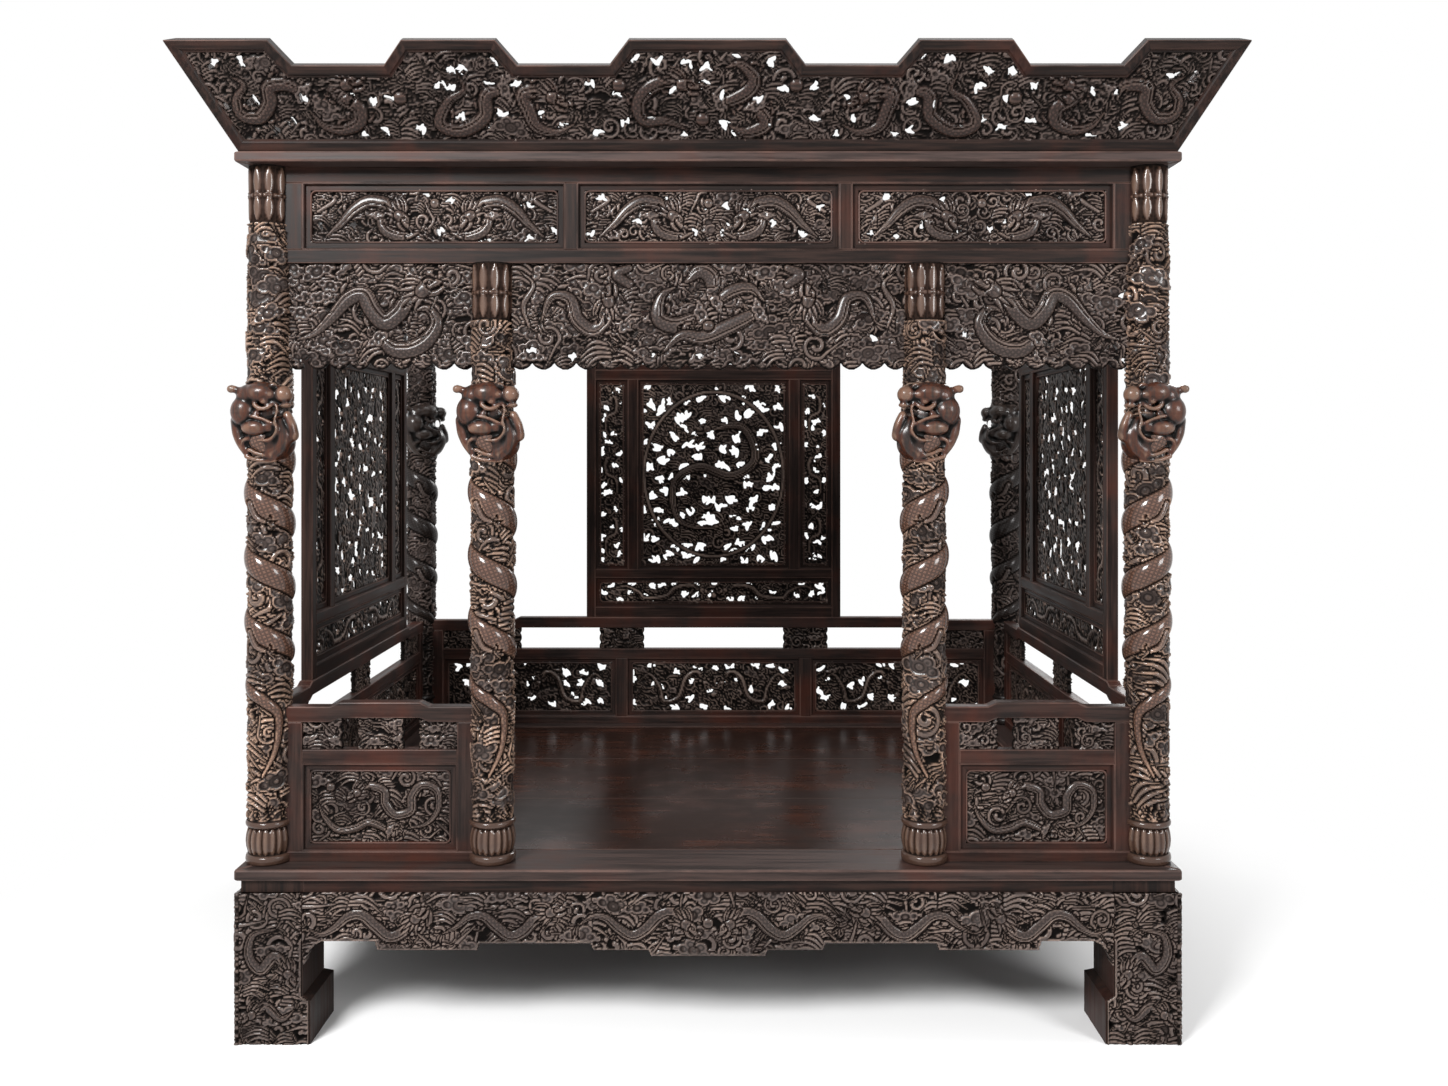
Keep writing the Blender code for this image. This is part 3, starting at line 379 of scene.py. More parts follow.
# A darker copy of the post finish for the posts at the back: painted shade, with little rubbed highlight.
FAR_POST_WOOD = carved_wood("far_post_wood", DARK_GRAIN_AND_SHADE, 0.12, BROWN_RUB_HIGHLIGHT, 0.35, 0.22)
CROWN_WOOD = carved_wood("crown_wood", CROWN_BROWN, 0.16, BROWN_RUB_HIGHLIGHT, 0.4, 0.24)
SCREEN_CARVED = carved_wood("screen_carved_wood", SKIN_BROWN, 0.5, BROWN_RUB_HIGHLIGHT, 0.14, 0.28)
print("carved finishes", CARVED_WOOD.name, POST_WOOD.name, CROWN_WOOD.name)

# %% [markdown]
# The dragons' heads stand out furthest and are touched most, so they have a finish of their own: smooth
# red-brown streaked with darker grain, high points rubbed to copper, partly as a painted highlight, a
# soft lacquer gloss on what bulges, and creases painted dark as shade, without gloss. The heads at the
# back get a darker copy of the finish, painted shade, with almost no rubbed highlight.

# %% Finish of the heads
CREASE_SHADE = (0.008, 0.0038, 0.0027, 1)
POLISHED_RED = (0.05, 0.0165, 0.009, 1)


def polished_wood(name, red, rub_highlight_share):
    """Handled wood, whose high points turn copper by the given share, partly rubbing and partly a painted highlight.
    """
    material, tree, shader, figure = wood_start(name, "z")
    split = put(tree, "ShaderNodeSeparateColor")
    tree.links.new(put(tree, "ShaderNodeAttribute", attribute_name="carving").outputs["Color"], split.inputs[0])
    relief, hollow, _ = split.outputs
    tinted = blend_colours(tree, remap(tree, figure["Streaks"], 0.34, 0.58), DARK_GRAIN_AND_SHADE, red)
    # Creases are painted dark, as shade; the highest points take a rubbed highlight, partly painted.
    body = blend_colours(tree, remap(tree, relief, 0.4, 0.75), CREASE_SHADE, tinted)
    worn = blend_colours(tree, remap(tree, relief, 0.8, 1.0, 0.0, rub_highlight_share), body, COPPER_RUB_HIGHLIGHT)
    colour = blend_colours(tree, remap(tree, hollow, 0.05, 0.5), worn, SHADE_BLACK)
    tree.links.new(colour, shader.inputs["Base Color"])
    tree.links.new(remap(tree, figure["Patches"], 0.3, 0.7, 0.3, 0.42), shader.inputs["Roughness"])
    tree.links.new(remap(tree, hollow, 0.0, 0.5, 0.4, 0.0), shader.inputs["Coat Weight"])
    shader.inputs["Coat Roughness"].default_value = 0.2
    add_bump(tree, shader, figure["Streaks"], 0.1, 0.001)
    return material


HEAD_WOOD = polished_wood("polished_wood", POLISHED_RED, 0.2)
# The heads at the back get a darker copy: painted shade.
FAR_HEAD_WOOD = polished_wood("far_polished_wood", DARK_GRAIN_AND_SHADE, 0.02)
print("head finishes", HEAD_WOOD.name, FAR_HEAD_WOOD.name)
# %% [markdown]
# Frames are joined from separate members, as a joiner would: each is a board drawn as an outline,
# extruded to its thickness and bevelled, because no real arris is perfectly sharp.
# The bevel faces are marked for the pale arris line, partly rubbing and partly a painted highlight,
# and the grain picks the material slot: 0 for boards that lie along the side and 1 for boards that
# stand up.

# %% Helpers that turn a bmesh into a finished piece, and boards
LYING, STANDING = 0, 1
ARRIS = 0.0022
TRIANGLES = {}


def finish_piece(name, bm, materials, nodes=(), matrix=None):
    """Puts the shape in place, turns its faces outwards, hangs it on the bed and counts its triangles."""
    if matrix:
        bmesh.ops.transform(bm, matrix=matrix, verts=bm.verts)
    bmesh.ops.recalc_face_normals(bm, faces=bm.faces)
    mesh = bpy.data.meshes.new(name)
    bm.to_mesh(mesh)
    bm.free()
    for material in materials:
        mesh.materials.append(material)
    piece = bpy.data.objects.new(name, mesh)
    bpy.context.scene.collection.objects.link(piece)
    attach(piece, "root")
    if nodes:
        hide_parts(*nodes)
    TRIANGLES[name] = sum(len(face.vertices) - 2 for face in mesh.polygons)


def new_frame_mesh():
    bm = bmesh.new()
    bm.loops.layers.float.new("rub_and_highlight")
    return bm


def mark_bevel(bm, edges, offset, segments=2):
    rub_and_highlight = bm.loops.layers.float["rub_and_highlight"]
    made = bmesh.ops.bevel(
        bm, geom=edges, offset=offset, segments=segments, profile=0.5, affect="EDGES", material=-1, clamp_overlap=True
    )
    # Bevel faces take the pale arris line, partly a painted highlight.
    for face in made["faces"]:
        for loop in face.loops:
            loop[rub_and_highlight] = 1.0


def faces_at(verts):
    return list({face for vert in verts for face in vert.link_faces})


def add_board(bm, outline, back, front, grain=LYING, arris=ARRIS):
    """A board with that outline, between two depths."""
    face = bm.faces.new([bm.verts.new((x, y, back)) for x, y in outline])
    lifted = bmesh.ops.extrude_face_region(bm, geom=[face], use_keep_orig=True)["geom"]
    corners = [item for item in lifted if isinstance(item, bmesh.types.BMVert)]
    bmesh.ops.translate(bm, verts=corners, vec=(0, 0, front - back))
    made = faces_at([*face.verts, *corners])
    bmesh.ops.recalc_face_normals(bm, faces=made)
    for face in made:
        face.material_index = grain
    if arris:
        mark_bevel(bm, list({edge for face in made for edge in face.edges}), arris)


def rectangle(x0, y0, x1, y1):
    return [(x0, y0), (x1, y0), (x1, y1), (x0, y1)]


def add_bar(bm, x0, y0, x1, y1, back, front, grain=None, arris=ARRIS):
    """A straight board; its grain follows its longer side."""
    if grain is None:
        grain = LYING if x1 - x0 >= y1 - y0 else STANDING
    add_board(bm, rectangle(x0, y0, x1, y1), back, front, grain, arris)


print("board helpers ready")

# %% [markdown]
# Round each window runs a moulding with mitred corners, like a picture frame. Its section is a closed
# list of points, each an inset from the window's edge and a depth. Each point becomes a loop round
# the window: extruding the loop before it and moving the copy draws the moulding with its mitres.

# %% Window mouldings
RUB_AND_HIGHLIGHT_WIDTH = 0.0031
STEP_DOWN = 0.0085
BORDER = 0.0165
BEAD_CORNER = 0.03


def rounded(x0, y0, x1, y1, radius, steps=4):
    """A rectangle with round corners."""
    points = []
    corners = ((x1, y1, 0), (x0, y1, 1), (x0, y0, 2), (x1, y0, 3))
    for x, y, quarter in corners:
        cx = x - radius if x == x1 else x + radius
        cy = y - radius if y == y1 else y + radius
        for step in range(steps + 1):
            turn = math.pi / 2 * (quarter + step / steps)
            points.append((cx + radius * math.cos(turn), cy + radius * math.sin(turn)))
    return points


def add_ring(bm, outline, section):
    """A moulding: outline(inset) draws a loop, and the closed section lists insets and depths."""
    rub_and_highlight = bm.loops.layers.float["rub_and_highlight"]
    inset, depth = section[0]
    first = [bm.verts.new((x, y, depth)) for x, y in outline(inset)]
    edges = [bm.edges.new((first[i - 1], first[i])) for i in range(len(first))]
    loop = first
    drawn = list(first)
    for inset, depth in section[1:] + section[:1]:
        made = bmesh.ops.extrude_edge_only(bm, edges=edges)["geom"]
        twins = {tuple(item.co): item for item in made if isinstance(item, bmesh.types.BMVert)}
        loop = [twins[tuple(vert.co)] for vert in loop]
        fresh = set(loop)
        edges = [item for item in made if isinstance(item, bmesh.types.BMEdge) and fresh.issuperset(item.verts)]
        for vert, (x, y) in zip(loop, outline(inset)):
            vert.co = (x, y, depth)
        drawn += loop
    bmesh.ops.weld_verts(bm, targetmap=dict(zip(loop, first)))
    for face in faces_at(vert for vert in drawn if vert.is_valid):
        width = max(v.co.x for v in face.verts) - min(v.co.x for v in face.verts)
        height = max(v.co.y for v in face.verts) - min(v.co.y for v in face.verts)
        face.material_index = LYING if width >= height else STANDING
        for loop in face.loops:
            # Narrow moulding faces take the pale arris line, partly a painted highlight.
            loop[rub_and_highlight] = 1.0 if min(edge.calc_length() for edge in face.edges) < RUB_AND_HIGHLIGHT_WIDTH else 0.0


def add_window(bm, window, surface, face):
    """A step with a light arris, a flat recessed border and a rounded bead; face is 1 in front, -1 behind."""
    x0, y0, x1, y1 = window

    def square(inset):
        return rectangle(x0 + inset, y0 + inset, x1 - inset, y1 - inset)

    def soft(inset):
        return rounded(x0 + inset, y0 + inset, x1 - inset, y1 - inset, max(0.0015, BEAD_CORNER - inset))

    step = surface - STEP_DOWN
    crown = step + 0.0026
    stepped = [(0, surface), (0.002, surface), (0.0042, surface - 0.0022), (0.005, step)]
    stepped += [(BORDER, step), (BORDER, 0), (0, 0)]
    bead = [(BORDER - 0.001, step - 0.001), (BORDER, crown - 0.0006), (BORDER + 0.0016, crown)]
    bead += [(BORDER + 0.0032, crown - 0.0006), (BORDER + 0.0042, 0), (BORDER - 0.001, 0)]
    for outline, section in ((square, stepped), (soft, bead)):
        add_ring(bm, outline, [(inset, face * depth) for inset, depth in section])


print("window mouldings ready")
# %% [markdown]
# Relief carving is a surface pushed up and down, seen from one side, so a fine grid with a height at
# every point describes it well. Sculpting it by hand would also work, but a lesson has to give the same
# result each time, so small carving tools paint on the grid: each cuts a groove beside a form and then
# leaves the form standing, in the order a carver lays one cloud over the next.
# Besides the height, the grid remembers how far each point lies clear of the wood ("clear"): above zero
# it is in a hole or outside the outline, and later the panel is cut right through there.

# %% The carving grid
FAR = 0.03
MOAT = 0.0022
CHUNK = 24


class Relief:
    """Heights and marks over a grid; wrap is the way round where the grid closes on itself."""

    def __init__(self, xs, ys, wrap=0.0):
        self.x = np.asarray(xs, float)
        self.y = np.asarray(ys, float)
        shape = (len(self.y), len(self.x))
        self.height = np.zeros(shape)
        self.clear = np.full(shape, -FAR)
        self.skin = np.zeros(shape)
        self.lines = np.zeros(shape + (2,))
        self.wrap = wrap
        self.step = abs(self.x[1] - self.x[0])

    def shifts(self):
        return [turns * self.wrap for turns in range(-3, 4)] if self.wrap else [0.0]

    def window(self, x0, x1, y0, y1):
        i0, i1 = np.searchsorted(self.x, [x0, x1])
        j0, j1 = np.searchsorted(self.y, [y0, y1])
        if i0 >= i1 or j0 >= j1:
            return None
        return slice(j0, j1), slice(i0, i1)


def panel_relief(x0, y0, x1, y1, pitch):
    columns = max(4, round((x1 - x0) / pitch) + 1)
    rows = max(4, round((y1 - y0) / pitch) + 1)
    return Relief(np.linspace(x0, x1, columns), np.linspace(y0, y1, rows))


def curve(points, steps=10):
    """A smooth path through the points."""
    p = np.asarray(points, float)
    ends = np.vstack([2 * p[0] - p[1], p, 2 * p[-1] - p[-2]])
    t = np.linspace(0, 1, steps, endpoint=False)[:, None]
    pieces = []
    for a, b, c, d in zip(ends, ends[1:], ends[2:], ends[3:]):
        pieces.append(
            0.5 * (2 * b + (c - a) * t + (2 * a - 5 * b + 4 * c - d) * t**2 + (3 * b - a - 3 * c + d) * t**3)
        )
    return np.vstack(pieces + [p[-1:]])


def spaced(path, gap):
    """The path with its points evenly that far apart."""
    path = np.asarray(path, float)
    run = np.concatenate([[0], np.cumsum(np.hypot(*np.diff(path, axis=0).T))])
    count = max(3, int(run[-1] / gap) + 2)
    even = np.linspace(0, run[-1], count)
    return np.column_stack([np.interp(even, run, path[:, 0]), np.interp(even, run, path[:, 1])]), run[-1]


def nearest(relief, points, reach):
    """For the grid near a path: the window, the distance to the path and its nearest point's number."""
    for shift in relief.shifts():
        px = points[:, 0] + shift
        py = points[:, 1]
        window = relief.window(px.min() - reach, px.max() + reach, py.min() - reach, py.max() + reach)
        if window is None:
            continue
        gx = relief.x[window[1]]
        gy = relief.y[window[0]]
        away = np.full((len(gy), len(gx)), 1.0)
        index = np.zeros(away.shape, int)
        for start in range(0, len(points), CHUNK):
            cx = px[start : start + CHUNK]
            cy = py[start : start + CHUNK]
            a0, a1 = np.searchsorted(gx, [cx.min() - reach, cx.max() + reach])
            b0, b1 = np.searchsorted(gy, [cy.min() - reach, cy.max() + reach])
            if a0 >= a1 or b0 >= b1:
                continue
            gap = (gx[None, a0:a1, None] - cx) ** 2 + (gy[b0:b1, None, None] - cy) ** 2
            best = gap.argmin(2)
            value = gap.min(2)
            part = away[b0:b1, a0:a1]
            closer = value < part
            part[closer] = value[closer]
            index[b0:b1, a0:a1][closer] = best[closer] + start
        yield window, np.sqrt(away), index, shift


def stroke(relief, path, widths, height, lift=0.0, skin=0.0, flat=0.5):
    """A rounded strand along a path; widths are half widths spread along it."""
    points, length = spaced(path, relief.step * 0.8)
    share = np.linspace(0, 1, len(points))
    half = np.interp(share, np.linspace(0, 1, len(widths)), widths)
    tangent = np.gradient(points, axis=0)
    tangent /= np.maximum(1e-9, np.hypot(tangent[:, 0], tangent[:, 1]))[:, None]
    for window, away, index, shift in nearest(relief, points, half.max() + MOAT + relief.step):
        r = half[index]
        dome = np.clip(1 - (away / r) ** 2, 0, 1) ** flat
        top = lift + height * dome * (0.4 + 0.6 * r / half.max())
        inside = leave_standing(relief, window, away - r, top, lift)
        relief.skin[window][inside] = skin
        side_x = relief.x[window[1]][None, :] - points[index, 0] - shift
        side_y = relief.y[window[0]][:, None] - points[index, 1]
        across = tangent[index, 0] * side_y - tangent[index, 1] * side_x
        marks = np.stack([share[index] * length, across if skin > 0.5 else r - away], 2)
        relief.lines[window][inside] = marks[inside]


def leave_standing(relief, window, edge, top, lift):
    """Cuts a groove outside a form's edge and raises the form inside it, blending over one grid step."""
    level = relief.height[window]
    sunk = np.clip(1 - edge / MOAT, 0, 1)
    np.minimum(level, lift * 0.5 + (level - lift * 0.5) * (1 - sunk), out=level)
    cover = np.clip(0.5 - edge / relief.step, 0, 1)
    level += (top - level) * cover
    return cover > 0.5


print("carving grid ready")

# %% [markdown]
# The ground between the dragons is filled with drifting clouds: lobed heads with a rolled rim and
# incised lines that echo their outline, curls, and bundles of flame-like strands.
# A seeded random generator scatters them, so the fill is irregular and still the same each run.

# %% Carving tools for clouds, curls and flames
LOBES = (
    (0.0, 0.0, 0.55), (0.62, -0.1, 0.4), (-0.62, -0.1, 0.4), (0.3, 0.36, 0.4), (-0.3, 0.36, 0.4), (1.05, -0.2, 0.2),
    (-1.05, -0.2, 0.2)
)


def cloud(relief, x, y, size, turn, height, lift):
    """A lobed cloud head with a raised rim."""
    reach = size * 1.45
    for shift in relief.shifts():
        window = relief.window(x + shift - reach, x + shift + reach, y - reach, y + reach)
        if window is None:
            continue
        gx = (relief.x[window[1]][None, :] - x - shift) / size
        gy = (relief.y[window[0]][:, None] - y) / size
        lx = gx * math.cos(turn) + gy * math.sin(turn)
        ly = (gy * math.cos(turn) - gx * math.sin(turn)) * 1.25
        gap = np.min([np.hypot(lx - a, ly - b) - r for a, b, r in LOBES], axis=0) * size
        rim = np.exp(-(((gap + 0.0036) / 0.003) ** 2))
        dish = np.clip(-gap / (0.3 * size), 0, 1)
        inner = np.hypot(lx, ly - 0.02) * size
        roll = 0.5 + 0.5 * np.cos(math.tau * inner / (0.5 * size))
        top = lift + height * (0.45 + 0.45 * rim + 0.3 * dish * roll)
        inside = leave_standing(relief, window, gap, top, lift)
        relief.skin[window][inside] = 0
        marks = np.stack([np.zeros_like(gap), -gap], 2)
        relief.lines[window][inside] = marks[inside]


def curl(relief, x, y, size, turn, hand, height, lift):
    """A strand that rolls up into a spiral."""
    t = np.linspace(0, 1, 34)
    angle = turn + hand * math.tau * 1.35 * t
    r = size * (1 - 0.82 * t)
    path = np.column_stack([x + r * np.cos(angle), y + r * np.sin(angle)])
    out = path[0] + (path[0] - path[1]) * 5 + (path[0] - (x, y)) * 0.5
    path = np.vstack([curve([out, path[0], path[3]], 6)[:-1], path[3:]])
    stroke(relief, path, [0.06 * size, 0.17 * size, 0.17 * size, 0.2 * size], height, lift)


def flames(relief, x, y, size, turn, hand, count, height, lift):
    """A bundle of wavy strands that taper to points."""
    for number in range(count):
        spread = (number - (count - 1) / 2) * 0.24 * size
        length = size * (2.2 - 0.35 * abs(number - count / 2))
        t = np.linspace(0, 1, 9)
        along = t * length
        across = spread * (1 + 0.5 * t) + hand * 0.25 * size * np.sin(t * 4.2)
        c, s = math.cos(turn), math.sin(turn)
        path = np.column_stack([x + along * c - across * s, y + along * s + across * c])
        stroke(relief, curve(path, 4), [0.11 * size, 0.13 * size, 0.08 * size, 0.03 * size], height, lift)


def ball(relief, x, y, radius, height, lift, skin=1.0):
    """A pearl."""
    path = np.array([[x - 0.0004, y], [x, y], [x + 0.0004, y]])
    stroke(relief, path, [radius], height, lift, skin)


def scatter(relief, rng, area, size, gap, height, drift=0.0, mix=(0.55, 0.25, 0.2)):
    """Fills an area with clouds, curls and flames of about that size; gap is their spacing."""
    x0, y0, x1, y1 = area
    places = []
    for row in range(int((y1 - y0) / gap) + 2):
        for column in range(int((x1 - x0) / gap) + 2):
            x = x0 + (column - 0.5 * (row % 2)) * gap + rng.uniform(-0.35, 0.35) * gap
            y = y0 + row * gap + rng.uniform(-0.35, 0.35) * gap
            places.append((x, y))
    rng.shuffle(places)
    for x, y in places:
        kind = rng.uniform()
        s = size * rng.uniform(0.75, 1.25)
        h = height * rng.uniform(0.6, 1.0)
        lift = height * rng.uniform(0.05, 0.45)
        turn = drift + rng.uniform(-0.5, 0.5)
        hand = 1 if rng.uniform() < 0.5 else -1
        if kind < mix[0]:
            cloud(relief, x, y, s, turn + (0 if hand > 0 else math.pi), h, lift)
        elif kind < mix[0] + mix[1]:
            curl(relief, x, y, s * 0.8, turn + rng.uniform(0, math.tau), hand, h, lift)
        else:
            flames(relief, x - hand * s, y, s, turn + (0 if hand > 0 else math.pi), hand, 4, h, lift)


def pierce(relief, rng, area, gap, size):
    """Cuts uneven holes about that far apart through the ground, but never through a dragon."""
    x0, y0, x1, y1 = area
    x, y = relief.x[None, :], relief.y[:, None]
    for row in range(int((y1 - y0) / gap) + 1):
        for column in range(int((x1 - x0) / gap) + 1):
            hole_x = x0 + (column + 0.5 * (row % 2) + rng.uniform(0.1, 0.9)) * gap
            hole_y = y0 + (row + rng.uniform(0.1, 0.9)) * gap
            hole = -FAR + np.zeros(relief.clear.shape)
            for _ in range(4):
                r = size * rng.uniform(0.5, 1.0)
                turn = rng.uniform(0, math.pi)
                dx = x - hole_x - rng.uniform(-0.7, 0.7) * size
                dy = y - hole_y - rng.uniform(-0.5, 0.5) * size
                along, across = dx * math.cos(turn) + dy * math.sin(turn), dy * math.cos(turn) - dx * math.sin(turn)
                hole = np.maximum(hole, r - np.hypot(along, across * 2.5))
            relief.clear = np.maximum(relief.clear, np.where(relief.skin > 0.5, -FAR, hole))


print("cloud tools ready")

# %% [markdown]
# A dragon is a long tapering body with a spiny back, four clawed legs, a mane and a horned head.
# Every panel has its own, so the dragon is a tool too: it takes the path of the body from the neck
# to the tail, and the half width of the body, to which all its other parts are scaled.

# %% Carving tool for dragons
def dragon_head(relief, at, forward, up, w, height, lift, skin):
    """A head in profile: mane, horns, jaws, snout, brow, eye, whisker and beard."""
    def p(a, b):
        return at + forward * (a * w) + up * (b * w)

    for rise, reach, bend in (
        (1.5, 2.9, 0.9), (0.9, 3.4, 0.5), (0.2, 3.5, 0.2), (-0.5, 3.2, -0.3), (-1.1, 2.6, -0.8)
    ):
        strand = curve([p(-0.2, rise * 0.5), p(-1.4, rise * 0.9), p(-reach, rise + bend)], 8)
        stroke(relief, strand, [0.28 * w, 0.3 * w, 0.06 * w], height * 0.62, lift)
    for rise in (0.9, 1.35):
        horn = curve([p(0.1, 0.7), p(-0.8, rise + 0.35), p(-2.0, rise + 0.75), p(-2.7, rise + 0.55)], 6)
        stroke(relief, horn, [0.26 * w, 0.22 * w, 0.08 * w], height * 0.85, lift + height * 0.1, skin)
    for drop in (0.3, 0.65):
        beard = curve([p(0.9, -0.9), p(0.5, -1.6), p(-0.2 - drop, -2.0 - drop)], 6)
        stroke(relief, beard, [0.2 * w, 0.06 * w], height * 0.6, lift)
    stroke(
        relief, curve([p(0.0, -0.45), p(0.9, -0.95), p(1.9, -0.75)], 6), [0.42 * w, 0.36 * w, 0.24 * w], height * 0.8,
        lift, skin
    )
    stroke(
        relief, curve([p(-0.5, 0.0), p(0.3, 0.2), p(0.9, 0.1)], 6), [0.85 * w, 0.92 * w, 0.6 * w], height, lift, skin
    )
    stroke(
        relief, curve([p(0.7, 0.15), p(1.5, 0.1), p(2.15, 0.25)], 6), [0.52 * w, 0.44 * w, 0.4 * w], height * 1.02,
        lift, skin
    )
    ball(relief, *p(2.2, 0.5), 0.36 * w, height * 0.95, lift + height * 0.15, skin)
    stroke(
        relief, curve([p(0.2, 0.75), p(0.75, 0.8), p(1.15, 0.5)], 6), [0.2 * w, 0.24 * w, 0.14 * w], height * 0.75,
        lift + height * 0.5, skin
    )
    ball(relief, *p(0.75, 0.42), 0.2 * w, height * 0.5, lift + height * 0.7, skin)
    whisker = curve([p(2.2, 0.15), p(2.9, -0.2), p(2.7, -1.1), p(3.3, -1.5)], 8)
    stroke(relief, whisker, [0.14 * w, 0.12 * w, 0.06 * w], height * 0.6, lift + height * 0.2)


def dragon_leg(relief, at, out, ahead, w, height, lift, skin):
    """A bent leg with a tuft at its elbow and four spread claws."""
    knee = at + out * (1.9 * w) + ahead * (0.5 * w)
    foot = at + out * (2.3 * w) + ahead * (2.0 * w)
    for side in (-0.5, 0.1):
        stroke(
            relief, curve([knee, knee - ahead * (1.2 * w) + out * (side * w)], 6), [0.24 * w, 0.04 * w], height * 0.5,
            lift
        )
    stroke(relief, curve([at, knee, foot], 8), [0.62 * w, 0.5 * w, 0.3 * w], height * 0.85, lift, skin)
    for angle in (-1.0, -0.35, 0.3, 0.95):
        way = ahead * math.cos(angle) + out * math.sin(angle)
        tip = foot + way * (1.05 * w)
        hook = tip + (way - out * 0.6) * (0.25 * w)
        stroke(
            relief, curve([foot, tip, hook], 5), [0.2 * w, 0.17 * w, 0.06 * w], height * 0.7, lift + height * 0.1,
            skin
        )


def dragon(
    relief, controls, half, height, lift, spine=1, legs=((0.24, 1), (0.34, -1), (0.66, 1)), head=True, skin=1.0
):
    """A dragon along a path from its neck to the tip of its tail; spine is the side of its back."""
    path, length = spaced(curve(controls, 14), half * 0.25)
    tangent = np.gradient(path, axis=0)
    tangent /= np.hypot(tangent[:, 0], tangent[:, 1])[:, None]
    normal = np.column_stack([-tangent[:, 1], tangent[:, 0]]) * spine
    widths = np.array([0.72, 0.92, 1.0, 1.0, 0.96, 0.84, 0.66, 0.42, 0.12]) * half
    half_at = np.interp(np.linspace(0, 1, len(path)), np.linspace(0, 1, len(widths)), widths)
    spine_gap = max(4, int(0.75 * half / (length / len(path))))
    for i in range(spine_gap, len(path) - 2, spine_gap):
        root = path[i] + normal[i] * half_at[i] * 0.8
        tip = path[i] + normal[i] * (half_at[i] + half * 0.42) + tangent[i] * half * 0.3
        stroke(
            relief, np.array([root, (root + tip) / 2, tip]), [0.26 * half, 0.16 * half, 0.04 * half], height * 0.5,
            lift
        )
    tail = path[-1]
    for angle in (-0.7, -0.25, 0.25, 0.7):
        c, s = math.cos(angle), math.sin(angle)
        way = np.array([tangent[-1][0] * c - tangent[-1][1] * s, tangent[-1][0] * s + tangent[-1][1] * c])
        bend = np.array([-way[1], way[0]]) * math.copysign(0.5, angle)
        tuft = curve([tail, tail + way * half, tail + (way + bend * 0.6) * (2.0 * half)], 6)
        stroke(relief, tuft, [0.16 * half, 0.22 * half, 0.04 * half], height * 0.55, lift)
    for share, side in legs:
        i = int(share * (len(path) - 1))
        dragon_leg(relief, path[i], normal[i] * side, -tangent[i], half * 0.62, height, lift, skin)
    stroke(relief, path, widths, height, lift, skin)
    belly = path - normal * half_at[:, None] * 0.55
    stroke(relief, belly[2:-4], widths[:-1] * 0.2, height * 0.34, lift + height * 0.5, 0.4)
    if not head:
        away = path[0] - path[4]
        turn = math.atan2(away[1], away[0])
        cloud(relief, *(path[0] + away * 0.5), half * 1.5, turn + math.pi / 2, height * 0.75, lift + height * 0.2)
    else:
        forward = -(path[3] - path[0]) / np.hypot(*(path[3] - path[0]))
        up = np.array([-forward[1], forward[0]])
        if up[1] < 0:
            up = -up
        dragon_head(
            relief, path[0] + forward * half * 0.3, forward, up, half * 0.95, height, lift + height * 0.1, skin
        )


print("dragon tool ready")
# %% [markdown]
# A painted grid becomes a mesh in three steps. A bmesh grid gives the faces, the heights and marks go
# onto its points in one call, and faces that lie clear of the wood are deleted, which pierces the
# panel. Points on the rim of a hole slide to the exact edge of the wood beside them, so the holes have
# smooth outlines. Pierced panels are carved on both sides: the sheet is extruded and the copy mirrored.

# %% Meshes from carving grids
def blurred(values, reach):
    """A box blur in both directions."""
    for axis in (0, 1):
        padded = np.concatenate(
            [
                np.repeat(values.take([0], axis), reach + 1, axis), values,
                np.repeat(values.take([-1], axis), reach, axis)
            ],
            axis,
        )
        run = np.cumsum(padded, axis)
        size = values.shape[axis]
        upper = run.take(range(2 * reach + 1, 2 * reach + 1 + size), axis)
        values = (upper - run.take(range(size), axis)) / (2 * reach + 1)
    return values


def carving_marks(relief, scale):
    """Height, hollowness, skin and sharp ridges of every grid point, as a colour."""
    level = np.clip(relief.height / scale, 0, 1)
    near = blurred(relief.height, max(1, round(0.0035 / relief.step)))
    wide = blurred(relief.height, max(2, round(0.008 / relief.step)))
    # Hollowness and low ground drive painted shade in the finish, sharp ridges its rubbed highlight.
    hollow = np.clip((wide - relief.height) / (0.2 * scale), 0, 1)
    ground = np.clip(1 - relief.height / (0.14 * scale), 0, 0.95)
    ridge = np.clip((relief.height - near) / (0.13 * scale), 0, 1)
    return np.stack([level, np.maximum(hollow, ground), relief.skin, ridge], 2)


def kept_faces(relief):
    """Which cells stay, with loose islands dropped."""
    c = relief.clear
    keep = (c[:-1, :-1] + c[1:, :-1] + c[:-1, 1:] + c[1:, 1:]) < 0
    if keep.all():
        return keep
    reached = np.zeros_like(keep)
    reached[-1] = keep[-1]
    reached[:, 0] |= keep[:, 0]
    reached[:, -1] |= keep[:, -1]
    while True:
        grown = reached.copy()
        grown[1:] |= reached[:-1]
        grown[:-1] |= reached[1:]
        grown[:, 1:] |= reached[:, :-1]
        grown[:, :-1] |= reached[:, 1:]
        grown &= keep
        if (grown == reached).all():
            return reached
        reached = grown


